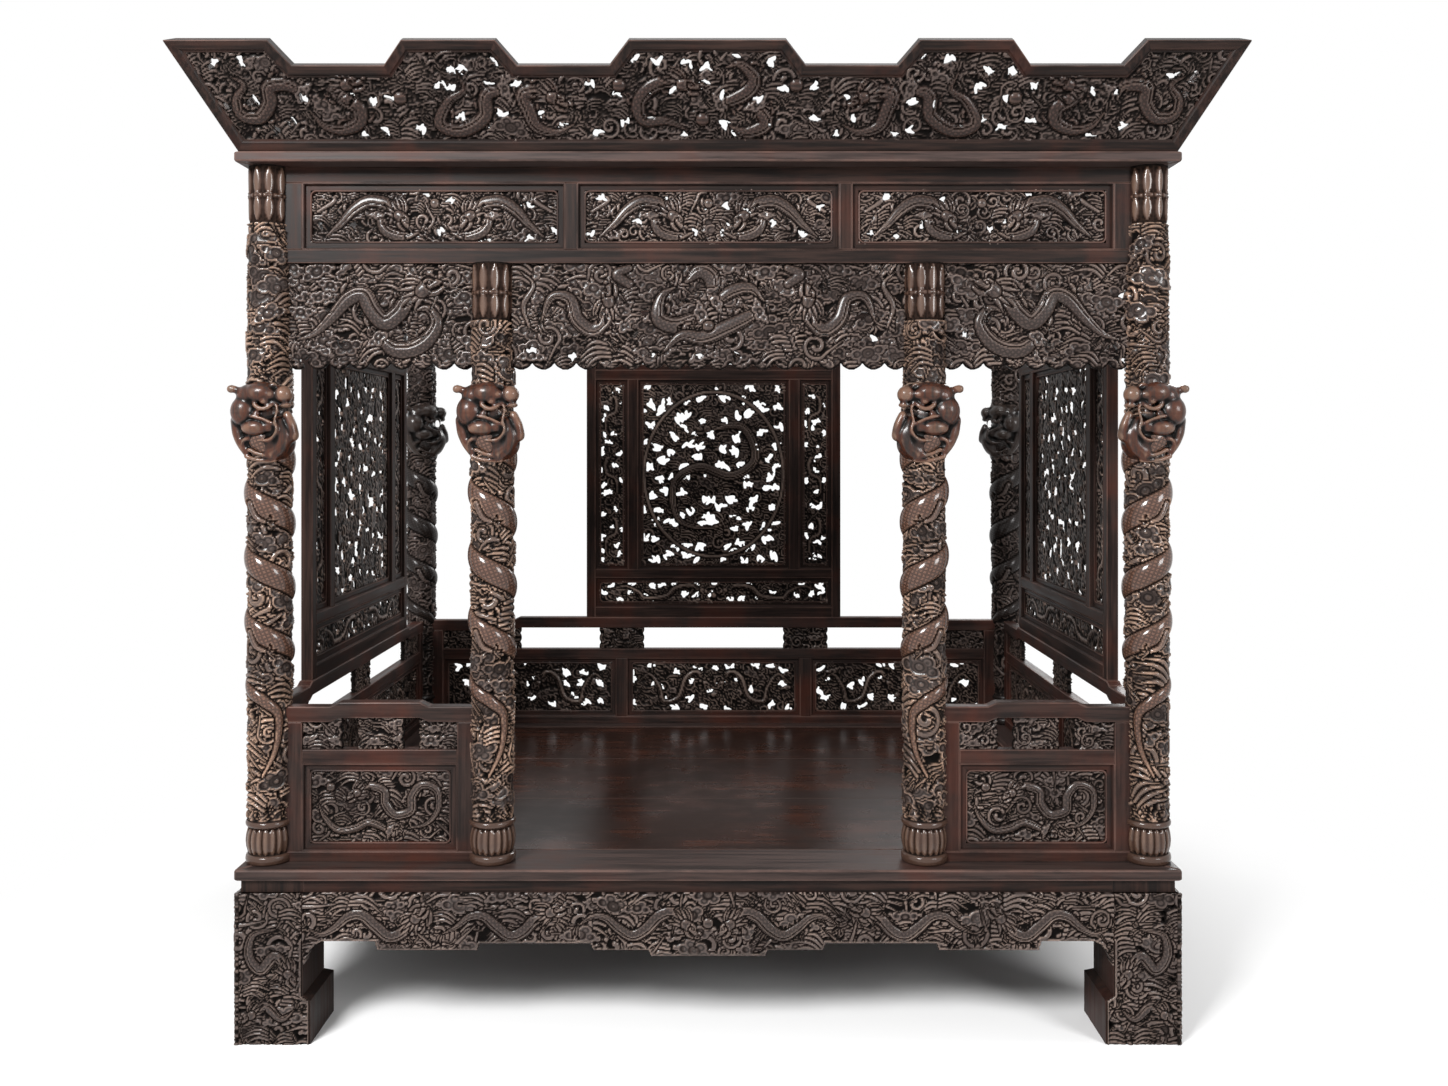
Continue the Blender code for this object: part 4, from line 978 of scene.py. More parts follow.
def grid_bmesh(relief, places, marks, keep):
    """A bmesh grid with those places and marks, without the cells that aren't kept."""
    rows, columns = relief.height.shape
    bm = bmesh.new()
    bmesh.ops.create_grid(bm, x_segments=columns - 1, y_segments=rows - 1, size=0.5)
    mesh = bpy.data.meshes.new("grid")
    bm.to_mesh(mesh)
    bm.free()
    mesh.vertices.foreach_set("co", places.ravel())
    mesh.attributes.new("carving", "FLOAT_COLOR", "POINT").data.foreach_set("color", marks.ravel())
    lines = np.concatenate([relief.lines, np.zeros(relief.height.shape + (1,))], 2)
    mesh.attributes.new("lines", "FLOAT_VECTOR", "POINT").data.foreach_set("vector", lines.ravel())
    mesh.polygons.foreach_set("use_smooth", np.ones(len(mesh.polygons), bool))
    bm = bmesh.new()
    bm.from_mesh(mesh)
    bpy.data.meshes.remove(mesh)
    if not keep.all():
        bm.faces.ensure_lookup_table()
        gone = [bm.faces[int(i)] for i in np.flatnonzero(~keep.ravel())]
        bmesh.ops.delete(bm, geom=gone, context="FACES")
    return bm


def snapped_places(relief, keep, base):
    """Grid points with their heights; those on a rim slide to where the form really ends."""
    x, y = np.meshgrid(relief.x, relief.y)
    if not keep.all():
        padded = np.pad(keep, 1, mode="edge").astype(int)
        beside = padded[:-1, :-1] + padded[1:, :-1] + padded[:-1, 1:] + padded[1:, 1:]
        rim = (beside > 0) & (beside < 4)
        gy, gx = np.gradient(relief.clear, relief.y, relief.x)
        slope = np.maximum(0.25, gx**2 + gy**2)
        limit = 0.62 * relief.step
        slide = np.where(rim, relief.clear, 0)
        x = x - np.clip(slide * gx / slope, -limit, limit)
        y = y - np.clip(slide * gy / slope, -limit, limit)
    return np.stack([x, y, base + relief.height], 2)


def carve_piece(name, relief, scale, base, matrix, nodes=(), back=None, material=None):
    """A carved panel: mirrored on its back, or closed by a flat back at that depth."""
    keep = kept_faces(relief)
    bm = grid_bmesh(relief, snapped_places(relief, keep, base), carving_marks(relief, scale), keep)
    if back is None:
        made = bmesh.ops.extrude_face_region(bm, geom=bm.faces[:], use_keep_orig=True)["geom"]
        for item in made:
            if isinstance(item, bmesh.types.BMVert):
                item.co.z = -item.co.z
    else:
        rim = [edge for edge in bm.edges if edge.is_boundary]
        made = bmesh.ops.extrude_edge_only(bm, edges=rim)["geom"]
        loop = []
        for item in made:
            if isinstance(item, bmesh.types.BMVert):
                item.co.z = back
            elif isinstance(item, bmesh.types.BMEdge):
                loop.append(item)
        filled = bmesh.ops.holes_fill(bm, edges=[edge for edge in loop if edge.is_boundary], sides=0)
        for face in filled["faces"]:
            face.smooth = False
    finish_piece(name, bm, [material or CARVED_WOOD], nodes, matrix)


def pitch(fine):
    return fine * 1.0


def clouded(area, fine, seed, size, gap, height, mix, drift=0.0):
    """A new grid over an area with its ground of clouds, and the random generator that placed them."""
    relief = panel_relief(*area, pitch(fine))
    rng = np.random.default_rng(seed)
    scatter(relief, rng, area, size, gap, height, drift, mix)
    return relief, rng


print("carving meshes ready")

# %% [markdown]
# The frieze under the cornice has three panels in front and behind, and two on each short side.
# In each, two dragons face a pearl among clouds, with a few piercings. The frame is plain, so the
# eye goes to the bead round the carving.

# %% Frieze frames and panels
PANEL_LAP = 0.003


def spot(area, u, v):
    """A point of an area, from -1 to 1 both ways from its middle."""
    x0, y0, x1, y1 = area
    return np.array([(x0 + x1) / 2 + u * (x1 - x0) / 2, (y0 + y1) / 2 + v * (y1 - y0) / 2])


def spots(area, points, mirror=1):
    """Points of an area, in hundredths of the way from its middle to its edges."""
    return [spot(area, mirror * u / 100, v / 100) for u, v in points]


def window_area(window):
    inset = BORDER - PANEL_LAP
    x0, y0, x1, y1 = window
    return x0 + inset, y0 + inset, x1 - inset, y1 - inset


def hold_border(relief, area, width):
    """Keeps a solid strip along all four edges of a pierced panel."""
    x0, y0, x1, y1 = area
    edge = np.minimum(
        np.minimum(relief.x - x0, x1 - relief.x)[None, :], np.minimum(relief.y - y0, y1 - relief.y)[:, None]
    )
    relief.clear = np.minimum(relief.clear, edge - width)


def paired_dragons(relief, area, half, height, lift):
    """Two arched dragons on either side of a pearl."""
    for mirror in (-1, 1):
        mane = spots(area, [(93, 20), (80, 62), (90, 85)], mirror)
        stroke(relief, curve(mane), [half * 0.3, half * 0.4, half * 0.1], height * 0.7, lift)
        lower = spots(area, [(44, 2), (38.5, -50), (25, -70), (12, -56)], mirror)
        dragon(relief, lower, half * 0.9, height, lift, mirror, ((0.35, 1), (0.7, -1)), head=False)
        body = spots(area, [(28, 2), (36, 42), (52, 56), (64.5, 26), (75, -25), (87, -72)], mirror)
        dragon(relief, body, half, height, lift + 0.0008, mirror, ((0.42, -1), (0.66, 1)))
    pearl = spot(area, 0.0, 0.5)
    flames(relief, pearl[0], pearl[1], half * 0.8, math.pi / 2, 1, 5, height * 0.6, lift * 0.5)
    ball(relief, *pearl, half * 0.72, height, lift)


def windows_in(length, stile, muntin, count, low, high):
    width = (length - 2 * stile - (count - 1) * muntin) / count
    lefts = [-length / 2 + stile + index * (width + muntin) for index in range(count)]
    return [(left, low, left + width, high) for left in lefts]


def side_woods(side, woods=FRAME_WOOD):
    return [woods["x" if is_long(side) else "y"], woods["z"]]


def node_length(node, side):
    low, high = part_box(node)
    return (high - low)[0 if is_long(side) else 1]


def frame_piece(name, side, bars, windows, half_depth, matrix, nodes, woods=FRAME_WOOD):
    """A frame of bevelled bars with a moulding round each window, on both faces."""
    bm = new_frame_mesh()
    for bar in bars:
        add_bar(bm, *bar, -half_depth, half_depth)
    for window in windows:
        for face in (1, -1):
            add_window(bm, window, half_depth, face)
    finish_piece(name, bm, side_woods(side, woods), nodes, matrix)


FRIEZE_DEPTH = 0.018
FRIEZE_STILE, FRIEZE_MUNTIN, FRIEZE_TOP, FRIEZE_FOOT = 0.043, 0.029, 0.037, 0.032


def frieze_panel(name, window, matrix, nodes, fine, seed):
    area = window_area(window)
    relief, rng = clouded(area, fine, seed, 0.028, 0.0265, 0.0062, (0.16, 0.34, 0.5))
    paired_dragons(relief, area, 0.016, 0.0092, 0.0012)
    pierce(relief, rng, area, 0.068, 0.0105)
    hold_border(relief, area, 0.006)
    carve_piece(name, relief, 0.0095, 0.0025, matrix, nodes)


def build_frieze(side, panels, fine):
    node = f"frieze_{side}_frame"
    length = node_length(node, side)
    height = FRIEZE_HIGH - FRIEZE_LOW
    half = length / 2
    windows = windows_in(length, FRIEZE_STILE, FRIEZE_MUNTIN, panels, FRIEZE_FOOT, height - FRIEZE_TOP)
    bars = [(-half, 0, half, FRIEZE_FOOT), (-half, height - FRIEZE_TOP, half, height)]
    ends = [-half] + [edge for window in windows for edge in (window[0], window[2])] + [half]
    bars += [(x0, FRIEZE_FOOT, x1, height - FRIEZE_TOP) for x0, x1 in zip(ends[::2], ends[1::2])]
    matrix = side_matrix(side, post_line(side), up=FRIEZE_LOW)
    frame_piece(f"frieze_{side}_frame_carcass", side, bars, windows, FRIEZE_DEPTH, matrix, [node])
    for number, window in enumerate(windows, 1):
        nodes = [f"frieze_front_panel_{number}"] if side == "front" else []
        frieze_panel(f"frieze_{side}_carving_{number}", window, matrix, nodes, fine, 40 + number + 10 * len(side))
    return windows


for side, panels, fine in (("front", 3, 0.003), ("back", 3, 0.0056), ("left", 2, 0.0054), ("right", 2, 0.0054)):
    print("frieze", side, [round(v, 4) for v in build_frieze(side, panels, fine)[0]])
# %% [markdown]
# Below the frieze hang three valances between the posts: thick cloud carving with dragons, almost
# without frame, whose lower edge follows the clouds. A free edge is one more use of the "clear" values:
# whatever lies outside the outline counts as clear of the wood and is cut away.

# %% Valances
VALANCE_HIGH = FRIEZE_LOW - 0.0006


def outline_gap(relief, outline):
    """Distance of each grid point from an outline, negative inside."""
    x, y = np.meshgrid(relief.x, relief.y)
    away = np.full(x.shape, 1e9)
    inside = np.zeros(x.shape, bool)
    for (ax, ay), (bx, by) in zip(outline, outline[1:] + outline[:1]):
        run = np.clip(((x - ax) * (bx - ax) + (y - ay) * (by - ay)) / ((bx - ax) ** 2 + (by - ay) ** 2 + 1e-12), 0, 1)
        away = np.minimum(away, np.hypot(x - ax - run * (bx - ax), y - ay - run * (by - ay)))
        crosses = (ay > y) != (by > y)
        inside ^= crosses & (x < (bx - ax) * (y - ay) / (by - ay + 1e-12) + ax)
    return np.where(inside, -away, away)


def scalloped(x0, x1, low, high, lobe, depth):
    """A panel outline whose lower edge is a row of round lobes."""
    lobes = max(1, round((x1 - x0) / lobe))
    edge = []
    for step in range(lobes * 8 + 1):
        share = step / (lobes * 8)
        wide = abs(math.sin(math.pi * lobes * share)) ** 0.7
        edge.append((x0 + (x1 - x0) * share, low + depth * (1 - wide)))
    return edge + [(x1, high), (x0, high)]


def rising_dragon(relief, area, mirror, half, height, lift):
    """A dragon that climbs towards the bed's middle, as on the two outer valances."""
    coil = spots(area, [(2, -44), (16, -62), (36, -60), (52, -40), (60, -10), (50, 16), (36, 10)], mirror)
    dragon(relief, coil, half * 0.95, height, lift, -mirror, ((0.3, 1), (0.62, -1)), head=False)
    body = spots(
        area,
        [(46, 50), (30, 34), (19, 6), (5, -10), (-8, 12), (-18, 42), (-34, 34), (-52, -2), (-70, -32), (-88, -44)],
        mirror
    )
    dragon(relief, body, half, height, lift + 0.001, mirror, ((0.22, -1), (0.4, 1), (0.62, -1)))


def facing_dragon(relief, area, half, height, lift):
    """The middle of the wide valance: a dragon wound round a pearl between two others."""
    for mirror in (-1, 1):
        side = spots(area, [(50, 30), (51, -2), (58, -26), (66, -5), (70, 34), (79, 36), (84, -10)], mirror)
        dragon(relief, side, half * 0.95, height, lift, mirror, ((0.25, -1), (0.5, 1), (0.75, -1)))
        hair = spots(area, [(40, 62), (46, 80), (40, 92)], mirror)
        stroke(relief, curve(hair), [half * 0.6, half * 0.7, half * 0.5], height * 0.8, lift, 1)
        wisp = spots(area, [(90, -20), (93, 20), (88, 60), (94, 85)], mirror)
        stroke(relief, curve(wisp), [half * 0.2, half * 0.42, half * 0.1], height * 0.8, lift, 1)
    crest = spots(area, [(3, 50), (1, 78), (-5, 86), (-12, 62)])
    dragon(relief, crest, half * 1.05, height, lift, 1, (), head=False)
    left = spots(area, [(-5, 0), (-16, -16), (-25, -2), (-23.5, 38), (-17, 56)])
    dragon(relief, left, half * 1.05, height, lift, 1, ((0.5, -1), (0.75, -1)), head=False)
    right = spots(area, [(5, 30), (12, 48), (21, 54), (28, 30)])
    dragon(relief, right, half * 0.85, height, lift, 1, ((0.6, 1),), head=False)
    lower = spots(area, [(24, 6), (10, -20), (-3, -40), (-13.6, -36), (-23, -68)])
    dragon(relief, lower, half, height, lift + 0.0008, -1, ((0.2, 1), (0.55, -1), (0.75, 1)), head=False)
    ball(relief, *spot(area, 0.0, -0.18), half * 0.72, height, lift + 0.002)


def build_valance(hand, mirror, fine, seed):
    node = f"valance_{hand}"
    low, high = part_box(node)
    area = (low.x, low.z, high.x, VALANCE_HIGH)
    relief, rng = clouded(area, fine, seed, 0.037, 0.033, 0.0078, (0.56, 0.14, 0.3))
    if hand == "centre":
        facing_dragon(relief, area, 0.019, 0.0105, 0.0025)
    else:
        rising_dragon(relief, area, mirror, 0.0215, 0.0105, 0.0025)
    pierce(relief, rng, (area[0], area[1], area[2], area[3] - 0.04), 0.105, 0.0125)
    outline = scalloped(area[0], area[2], area[1], area[3] + 0.01, 0.052, 0.016)
    rim = outline_gap(relief, outline)
    relief.height *= np.clip(-rim / 0.006, 0.25, 1)
    relief.clear = np.maximum(relief.clear, rim)
    hold_top(relief, area)
    carve_piece(f"valance_{hand}_carving", relief, 0.0125, 0.004, side_matrix("front", POST_Y), [node])


def hold_top(relief, area):
    """The top and the two ends meet other wood, so they stay whole."""
    x0, _, x1, y1 = area
    near = np.minimum(np.minimum(relief.x - x0, x1 - relief.x)[None, :], (y1 - relief.y)[:, None])
    relief.clear = np.where(relief.y[:, None] > area[1] + 0.02, np.minimum(relief.clear, near - 0.004), relief.clear)


for hand, mirror, seed in (("left", 1, 11), ("centre", 1, 12), ("right", -1, 13)):
    build_valance(hand, mirror, 0.0031, seed)
print("valances", {name: count for name, count in TRIANGLES.items() if "valance" in name})

# %% [markdown]
# The base is carved in low relief on its outer faces: four legs with a wider foot, and four aprons
# with a stepped lower edge. Each leg is a stack of square sections, extruded upwards one after the
# other, with the carving as a thin skin on its two outer faces.

# %% Legs
LEG_WIDTH, FOOT_WIDTH, FOOT_HIGH, FLARE_HIGH = 0.155, 0.173, 0.1, 0.112
APRON_SET, WAIST_SET = 0.003, 0.013
WAIST_LOW, WAIST_HIGH = 0.35, 0.379
ARCH_HIGH = 0.239
SKIN_DEPTH = 0.0065
CARVED_PROUD = 0.0025
LOW_MIX = (0.2, 0.28, 0.52)


def add_stack(bm, sections, arris):
    """A post of square sections; each is (x0, y0, x1, y1, z)."""
    x0, y0, x1, y1, z = sections[0]
    face = bm.faces.new([bm.verts.new((x, y, z)) for x, y in rectangle(x0, y0, x1, y1)])
    for number, (x0, y0, x1, y1, z) in enumerate(sections[1:]):
        made = bmesh.ops.extrude_face_region(bm, geom=[face], use_keep_orig=number == 0)["geom"]
        face = next(item for item in made if isinstance(item, bmesh.types.BMFace))
        centre = face.calc_center_median()
        for vert in face.verts:
            vert.co = (x1 if vert.co.x > centre.x else x0, y1 if vert.co.y > centre.y else y0, z)
    bmesh.ops.recalc_face_normals(bm, faces=bm.faces)
    sharp = [edge for edge in bm.edges if edge.calc_face_angle(0) > 0.3]
    mark_bevel(bm, sharp, arris)
    for face in bm.faces:
        face.material_index = STANDING


def leg_outline(reach):
    """The carved face of a leg, from its outer corner inwards."""
    top = WAIST_LOW
    return [
        (reach, 0), (reach, top), (reach - LEG_WIDTH, top), (reach - LEG_WIDTH, FLARE_HIGH),
        (reach - FOOT_WIDTH, FOOT_HIGH), (reach - FOOT_WIDTH, 0)
    ]


def leg_arris(reach):
    """A wider outline whose only near edge is the inner edge of the leg below the apron."""
    inner = [
        (reach - LEG_WIDTH, ARCH_HIGH), (reach - LEG_WIDTH, FLARE_HIGH), (reach - FOOT_WIDTH, FOOT_HIGH),
        (reach - FOOT_WIDTH, -1)
    ]
    return [(reach + 1, -1), (reach + 1, 1), (reach - 1, 1), (reach - 1, ARCH_HIGH)] + inner


def leg_face(name, side, sign, fine, seed):
    """One carved outer face; sign is the end of the side where the leg stands."""
    reach = end_line(side) - APRON_SET + CARVED_PROUD
    x0, x1 = sorted((sign * reach, sign * (reach - FOOT_WIDTH)))
    area = (x0, 0.0, x1, WAIST_LOW)
    relief, _ = clouded(area, fine, seed, 0.035, 0.0315, 0.005, LOW_MIX)
    body = spots(area, [(45, -8), (10, 16), (-30, -2), (-62, 18), (-50, 45), (10, 52)], -sign)
    dragon(relief, body, 0.014, 0.0055, 0.0008, sign, ((0.3, -1), (0.55, 1)))
    lower = spots(area, [(-55, -62), (-15, -50), (25, -66), (60, -55)], -sign)
    dragon(relief, lower, 0.0125, 0.005, 0.0008, sign, ((0.4, -1),))
    outline = [(sign * x, y) for x, y in leg_outline(reach)]
    relief.clear = np.maximum(relief.clear, outline_gap(relief, outline))
    arris = outline_gap(relief, [(sign * x, y) for x, y in leg_arris(reach)])
    relief.height = np.where(arris > -0.005, np.maximum(0.0045 * np.clip(-arris / 0.0015, 0, 1), 0), relief.height)
    out = edge_line(side) - APRON_SET - SKIN_DEPTH + CARVED_PROUD
    carve_piece(name, relief, 0.0066, 0.0, side_matrix(side, out), back=-0.004)


def build_leg(row, hand, seed):
    node = f"leg_{row}_{hand}"
    sx = -1 if hand == "left" else 1
    sy = -1 if row == "front" else 1
    bm = new_frame_mesh()
    sections = []
    for width, inset, z in (
        (FOOT_WIDTH, 0, 0), (FOOT_WIDTH, 0, FOOT_HIGH), (LEG_WIDTH, 0, FLARE_HIGH), (LEG_WIDTH, 0, WAIST_LOW),
        (LEG_WIDTH, WAIST_SET - APRON_SET, WAIST_LOW), (LEG_WIDTH, WAIST_SET - APRON_SET, WAIST_HIGH),
    ):
        trim = max(inset, SKIN_DEPTH - CARVED_PROUD)
        outer_x, outer_y = EDGE_X - APRON_SET - trim, EDGE_Y - APRON_SET - trim
        inner_x, inner_y = EDGE_X - APRON_SET - width, EDGE_Y - APRON_SET - width
        xs = sorted((sx * outer_x, sx * inner_x))
        ys = sorted((BED_MIDDLE + sy * outer_y, BED_MIDDLE + sy * inner_y))
        sections.append((xs[0], ys[0], xs[1], ys[1], z))
    add_stack(bm, sections, 0.003)
    finish_piece(f"{node}_core", bm, [FRAME_WOOD["x"], FRAME_WOOD["z"]], [node])
    fine = 0.0028 if row == "front" else 0.0048
    leg_face(f"{node}_{row}_carving", row, sx if row == "front" else -sx, fine, seed)
    leg_face(f"{node}_{hand}_carving", hand, -sy if hand == "left" else sy, 0.0042, seed + 1)


for seed, (row, hand) in enumerate([("front", "left"), ("front", "right"), ("back", "left"), ("back", "right")]):
    build_leg(row, hand, 60 + 2 * seed)
print("legs", {name: count for name, count in TRIANGLES.items() if "leg" in name})

# %% [markdown]
# The aprons join the legs with a rounded arch. Chasing dragons run along them in a wave, and the waist
# above is a plain sunk board. The rim of the stepped edge is left as a narrow flat band.

# %% Aprons and waist boards
APRON_HIGH = 0.111
APRON_BACK = 0.036
LOBE_DROP, SHOULDER_DROP, BRIDGE_DROP = 0.034, 0.021, 0.005
EAR_GAP, EAR_WIDE, STEP_RUN = 0.173, 0.231, 0.006
ARCH_WIDE, ARCH_RISE, ARCH_STEPS = 0.053, 0.08, 8


def apron_outline(half, centre_half, shoulder_half):
    arch = WAIST_LOW - APRON_HIGH
    lobe, shoulder, bridge = arch - LOBE_DROP, arch - SHOULDER_DROP, arch - BRIDGE_DROP
    ear_out = half - EAR_GAP
    ear_in = ear_out - EAR_WIDE
    right = [(centre_half, lobe), (centre_half + STEP_RUN, shoulder)]
    right += [(shoulder_half, shoulder), (shoulder_half + STEP_RUN, bridge)]
    right += [(ear_in - STEP_RUN, bridge), (ear_in, shoulder), (ear_out, shoulder), (ear_out + STEP_RUN, arch)]
    for step in range(ARCH_STEPS + 1):
        turn = math.pi / 2 * step / ARCH_STEPS
        right.append((half - ARCH_WIDE + ARCH_WIDE * math.sin(turn), arch - ARCH_RISE * (1 - math.cos(turn))))
    right.append((half, WAIST_LOW))
    return right + [(-x, y) for x, y in reversed(right)]


def apron_dragons(relief, area, half_length, height):
    """Pairs of dragons that chase each other towards the middle."""
    middle = (area[1] + area[3]) / 2 + 0.022
    waves = max(2, round(half_length / 0.3))
    for mirror in (-1, 1):
        for number in range(waves):
            x0 = half_length * (number + 0.16) / waves
            run = half_length * 0.8 / waves
            wave_path = [
                (
                    x0 + run * t, middle + 0.031 * math.sin(t * 9.5 + number * 1.3) * (1 - 0.35 * t)
                ) for t in np.linspace(0, 1, 9)
            ]
            dragon(
                relief, [(mirror * x, y) for x, y in wave_path], 0.015, height, 0.0008, mirror,
                ((0.2, -1), (0.45, 1), (0.7, -1))
            )
    pearl = (0.0, middle + 0.004)
    flames(relief, *pearl, 0.016, math.pi / 2, 1, 5, height * 0.6, 0.0004)
    ball(relief, *pearl, 0.0125, height, 0.0008)


def build_apron(side, fine, seed):
    node = f"apron_{side}"
    half = end_line(side) - APRON_SET - LEG_WIDTH
    outline = apron_outline(half, *((0.132, 0.266) if is_long(side) else (0.085, 0.165)))
    area = (-half, min(y for _, y in outline), half, WAIST_LOW)
    relief, _ = clouded(area, fine, seed, 0.036, 0.0325, 0.005, LOW_MIX)
    apron_dragons(relief, area, half, 0.0058)
    rim = outline_gap(relief, [(x, y + (0.01 if y == WAIST_LOW else 0)) for x, y in outline])
    beside_leg = (np.abs(relief.x) > half - 0.012)[None, :] & (relief.y > WAIST_LOW - APRON_HIGH - 0.07)[:, None]
    lower_rim = np.where(beside_leg, -1, rim)
    relief.height = np.where(lower_rim > -0.0055, 0.0048 * np.clip(-lower_rim / 0.0015, 0, 1), relief.height)
    relief.clear = np.maximum(relief.clear, rim)
    out = edge_line(side) - APRON_SET - SKIN_DEPTH + CARVED_PROUD
    carve_piece(
        f"{node}_carving", relief, 0.0066, 0.0, side_matrix(side, out), [node],
        back=SKIN_DEPTH - CARVED_PROUD - APRON_BACK
    )
    bm = new_frame_mesh()
    add_bar(bm, -half, WAIST_LOW - 0.004, half, WAIST_HIGH - 0.0004, WAIST_SET - APRON_BACK, 0, LYING, 0.001)
    finish_piece(
        f"waist_{side}", bm, side_woods(side), (), side_matrix(side, edge_line(side) - WAIST_SET)
    )


for seed, (side, fine) in enumerate([("front", 0.0028), ("right", 0.0046), ("back", 0.005), ("left", 0.0046)]):
    build_apron(side, fine, 80 + seed)
print("aprons", {name: count for name, count in TRIANGLES.items() if "apron" in name})
# %% [markdown]
# Low railings close the sides: a frame with carved panels, a middle rail, and above it a strip where
# carved blocks alternate with open gaps. The top rail steps up a little in its middle.
# The front panels are carved on a solid ground; those at the back and the sides are pierced.

# %% Railings
RAIL_DEPTH = 0.016
RAIL_STILE, RAIL_MUNTIN, RAIL_FOOT, RAIL_WINDOW = 0.04, 0.038, 0.024, 0.207
RAIL_MIDDLE, RAIL_GAP, RAIL_TOP, RAIL_LIFT, RAIL_SLOPE = 0.033, 0.065, 0.037, 0.01, 0.021
RAIL_HIGH = RAIL_FOOT + RAIL_WINDOW + RAIL_MIDDLE + RAIL_GAP + RAIL_TOP
GAP_LOW = RAIL_FOOT + RAIL_WINDOW + RAIL_MIDDLE
GAP_HIGH = GAP_LOW + RAIL_GAP + RAIL_LIFT


def carved_block(name, x0, x1, lobed, matrix, fine, seed):
    """A pierced cloud block in the strip; lobed says which of its two ends stand free."""
    lap = 0.004
    area = (x0 - 0.008, GAP_LOW - lap, x1 + 0.008, GAP_HIGH + lap)
    relief, _ = clouded(area, fine, seed, 0.025, 0.0245, 0.0062, (0.25, 0.4, 0.35))
    left, right = [], []
    for step in range(25):
        share = step / 24
        swell = 0.0055 * abs(math.sin(share * math.pi * 3)) ** 0.7
        y = area[1] - lap + (area[3] - area[1] + 2 * lap) * share
        left.append((x0 - (swell if lobed[0] else 0.004), y))
        right.append((x1 + (swell if lobed[1] else 0.004), y))
    rim = outline_gap(relief, right + left[::-1])
    relief.clear = np.maximum(relief.clear, rim)
    relief.height *= np.clip(-rim / 0.004, 0.2, 1)
    carve_piece(name, relief, 0.008, 0.0035, matrix)


def vine_panel(relief, area, half, height, lift):
    """Two dragons that wind like vines from the ends of a long panel to its middle."""
    for mirror in (-1, 1):
        body = spots(area, [(10, 15), (20, 58), (33, 34), (42, -40), (60, -58), (66, 0), (78, 50), (94, 10)], mirror)
        dragon(relief, body, half, height, lift, mirror, ((0.2, -1), (0.5, 1), (0.72, -1)))
    ball(relief, *spot(area, 0, -0.3), half * 0.9, height, lift)


def front_rail_carving(relief, area, half, height, lift):
    """Two dragons, one coiled over most of the panel and one below it, and a pearl."""
    tail = spots(area, [(10, -62), (-16, -42), (-36, -58), (-60, -62), (-78, -30), (-88, 10)])
    dragon(relief, tail, half * 0.9, height, lift, 1, ((0.2, 1), (0.5, -1)), head=False)
    body = spots(
        area,
        [
            (-34, 34), (-16, 52), (4, 40), (6, 8), (20, -22), (42, -12), (44, 26), (58, 56), (78, 42), (80, -6),
            (64, -46), (36, -60)
        ]
    )
    dragon(relief, body, half, height, lift + 0.0008, 1, ((0.16, -1), (0.34, 1), (0.55, -1), (0.75, 1)))
    ball(relief, *spot(area, -0.7, 0.5), half * 0.9, height, lift)


def railing_panel(name, window, matrix, nodes, solid, fine, seed):
    area = window_area(window)
    if solid:
        relief, _ = clouded(area, fine, seed, 0.033, 0.03, 0.0058, (0.2, 0.26, 0.54))
        front_rail_carving(relief, area, 0.012, 0.0082, 0.001)
        carve_piece(name, relief, 0.0095, 0.0, matrix, nodes, back=-0.007)
        return
    relief, rng = clouded(area, fine, seed, 0.026, 0.0235, 0.0058, (0.2, 0.32, 0.48))
    vine_panel(relief, area, 0.011, 0.0085, 0.001)
    pierce(relief, rng, area, 0.066, 0.0165)
    hold_border(relief, area, 0.006)
    carve_piece(name, relief, 0.0095, 0.0025, matrix, nodes)


def build_railing(name, side, along, end, panels, blocks, block_wide, fine, seed):
    node = f"{name}_frame"
    half = node_length(node, side) / 2
    rise = half - end - RAIL_SLOPE
    window_top = RAIL_FOOT + RAIL_WINDOW
    windows = windows_in(2 * half, RAIL_STILE, RAIL_MUNTIN, panels, RAIL_FOOT, window_top)
    bars = [(-half, 0, half, RAIL_FOOT), (-half + RAIL_STILE, window_top, half - RAIL_STILE, GAP_LOW)]
    bars += [
        (-half, RAIL_FOOT, -half + RAIL_STILE, GAP_HIGH - RAIL_LIFT),
        (half - RAIL_STILE, RAIL_FOOT, half, GAP_HIGH - RAIL_LIFT)
    ]
    bars += [(a[2], RAIL_FOOT, b[0], window_top) for a, b in zip(windows, windows[1:])]
    matrix = side_matrix(side, post_line(side), along, DECK)
    bm = new_frame_mesh()
    for bar in bars:
        add_bar(bm, *bar, -RAIL_DEPTH, RAIL_DEPTH)
    low_edge = GAP_HIGH - RAIL_LIFT
    right = [(half, low_edge), (half, RAIL_HIGH), (half - end, RAIL_HIGH), (rise, RAIL_HIGH + RAIL_LIFT)]
    top = [
        (-half, low_edge), (-rise - RAIL_SLOPE, low_edge), (-rise, GAP_HIGH), (rise, GAP_HIGH),
        (rise + RAIL_SLOPE, low_edge)
    ]
    top += right + [(-x, y) for x, y in reversed(right[1:])]
    add_board(bm, top, -RAIL_DEPTH - 0.002, RAIL_DEPTH + 0.002, LYING, 0.003)
    for window in windows:
        for face in (1, -1):
            add_window(bm, window, RAIL_DEPTH, face)
    finish_piece(f"{name}_carcass", bm, side_woods(side, RAIL_WOOD), [node], matrix)
    for number, window in enumerate(windows, 1):
        label = f"{name}_panel" if panels == 1 else f"{name}_panel_{number}"
        railing_panel(f"{label}_carving", window, matrix, [label], side == "front", fine, seed + number)
    inner = half - RAIL_STILE
    spans = [(-inner, -rise, (False, True)), (rise, inner, (True, False))]
    spans += [(block - block_wide / 2, block + block_wide / 2, (True, True)) for block in blocks]
    for number, (x0, x1, lobed) in enumerate(spans, 1):
        carved_block(f"{name}_block_{number}", x0, x1, lobed, matrix, max(0.003, fine * 0.9), seed + 20 + number)


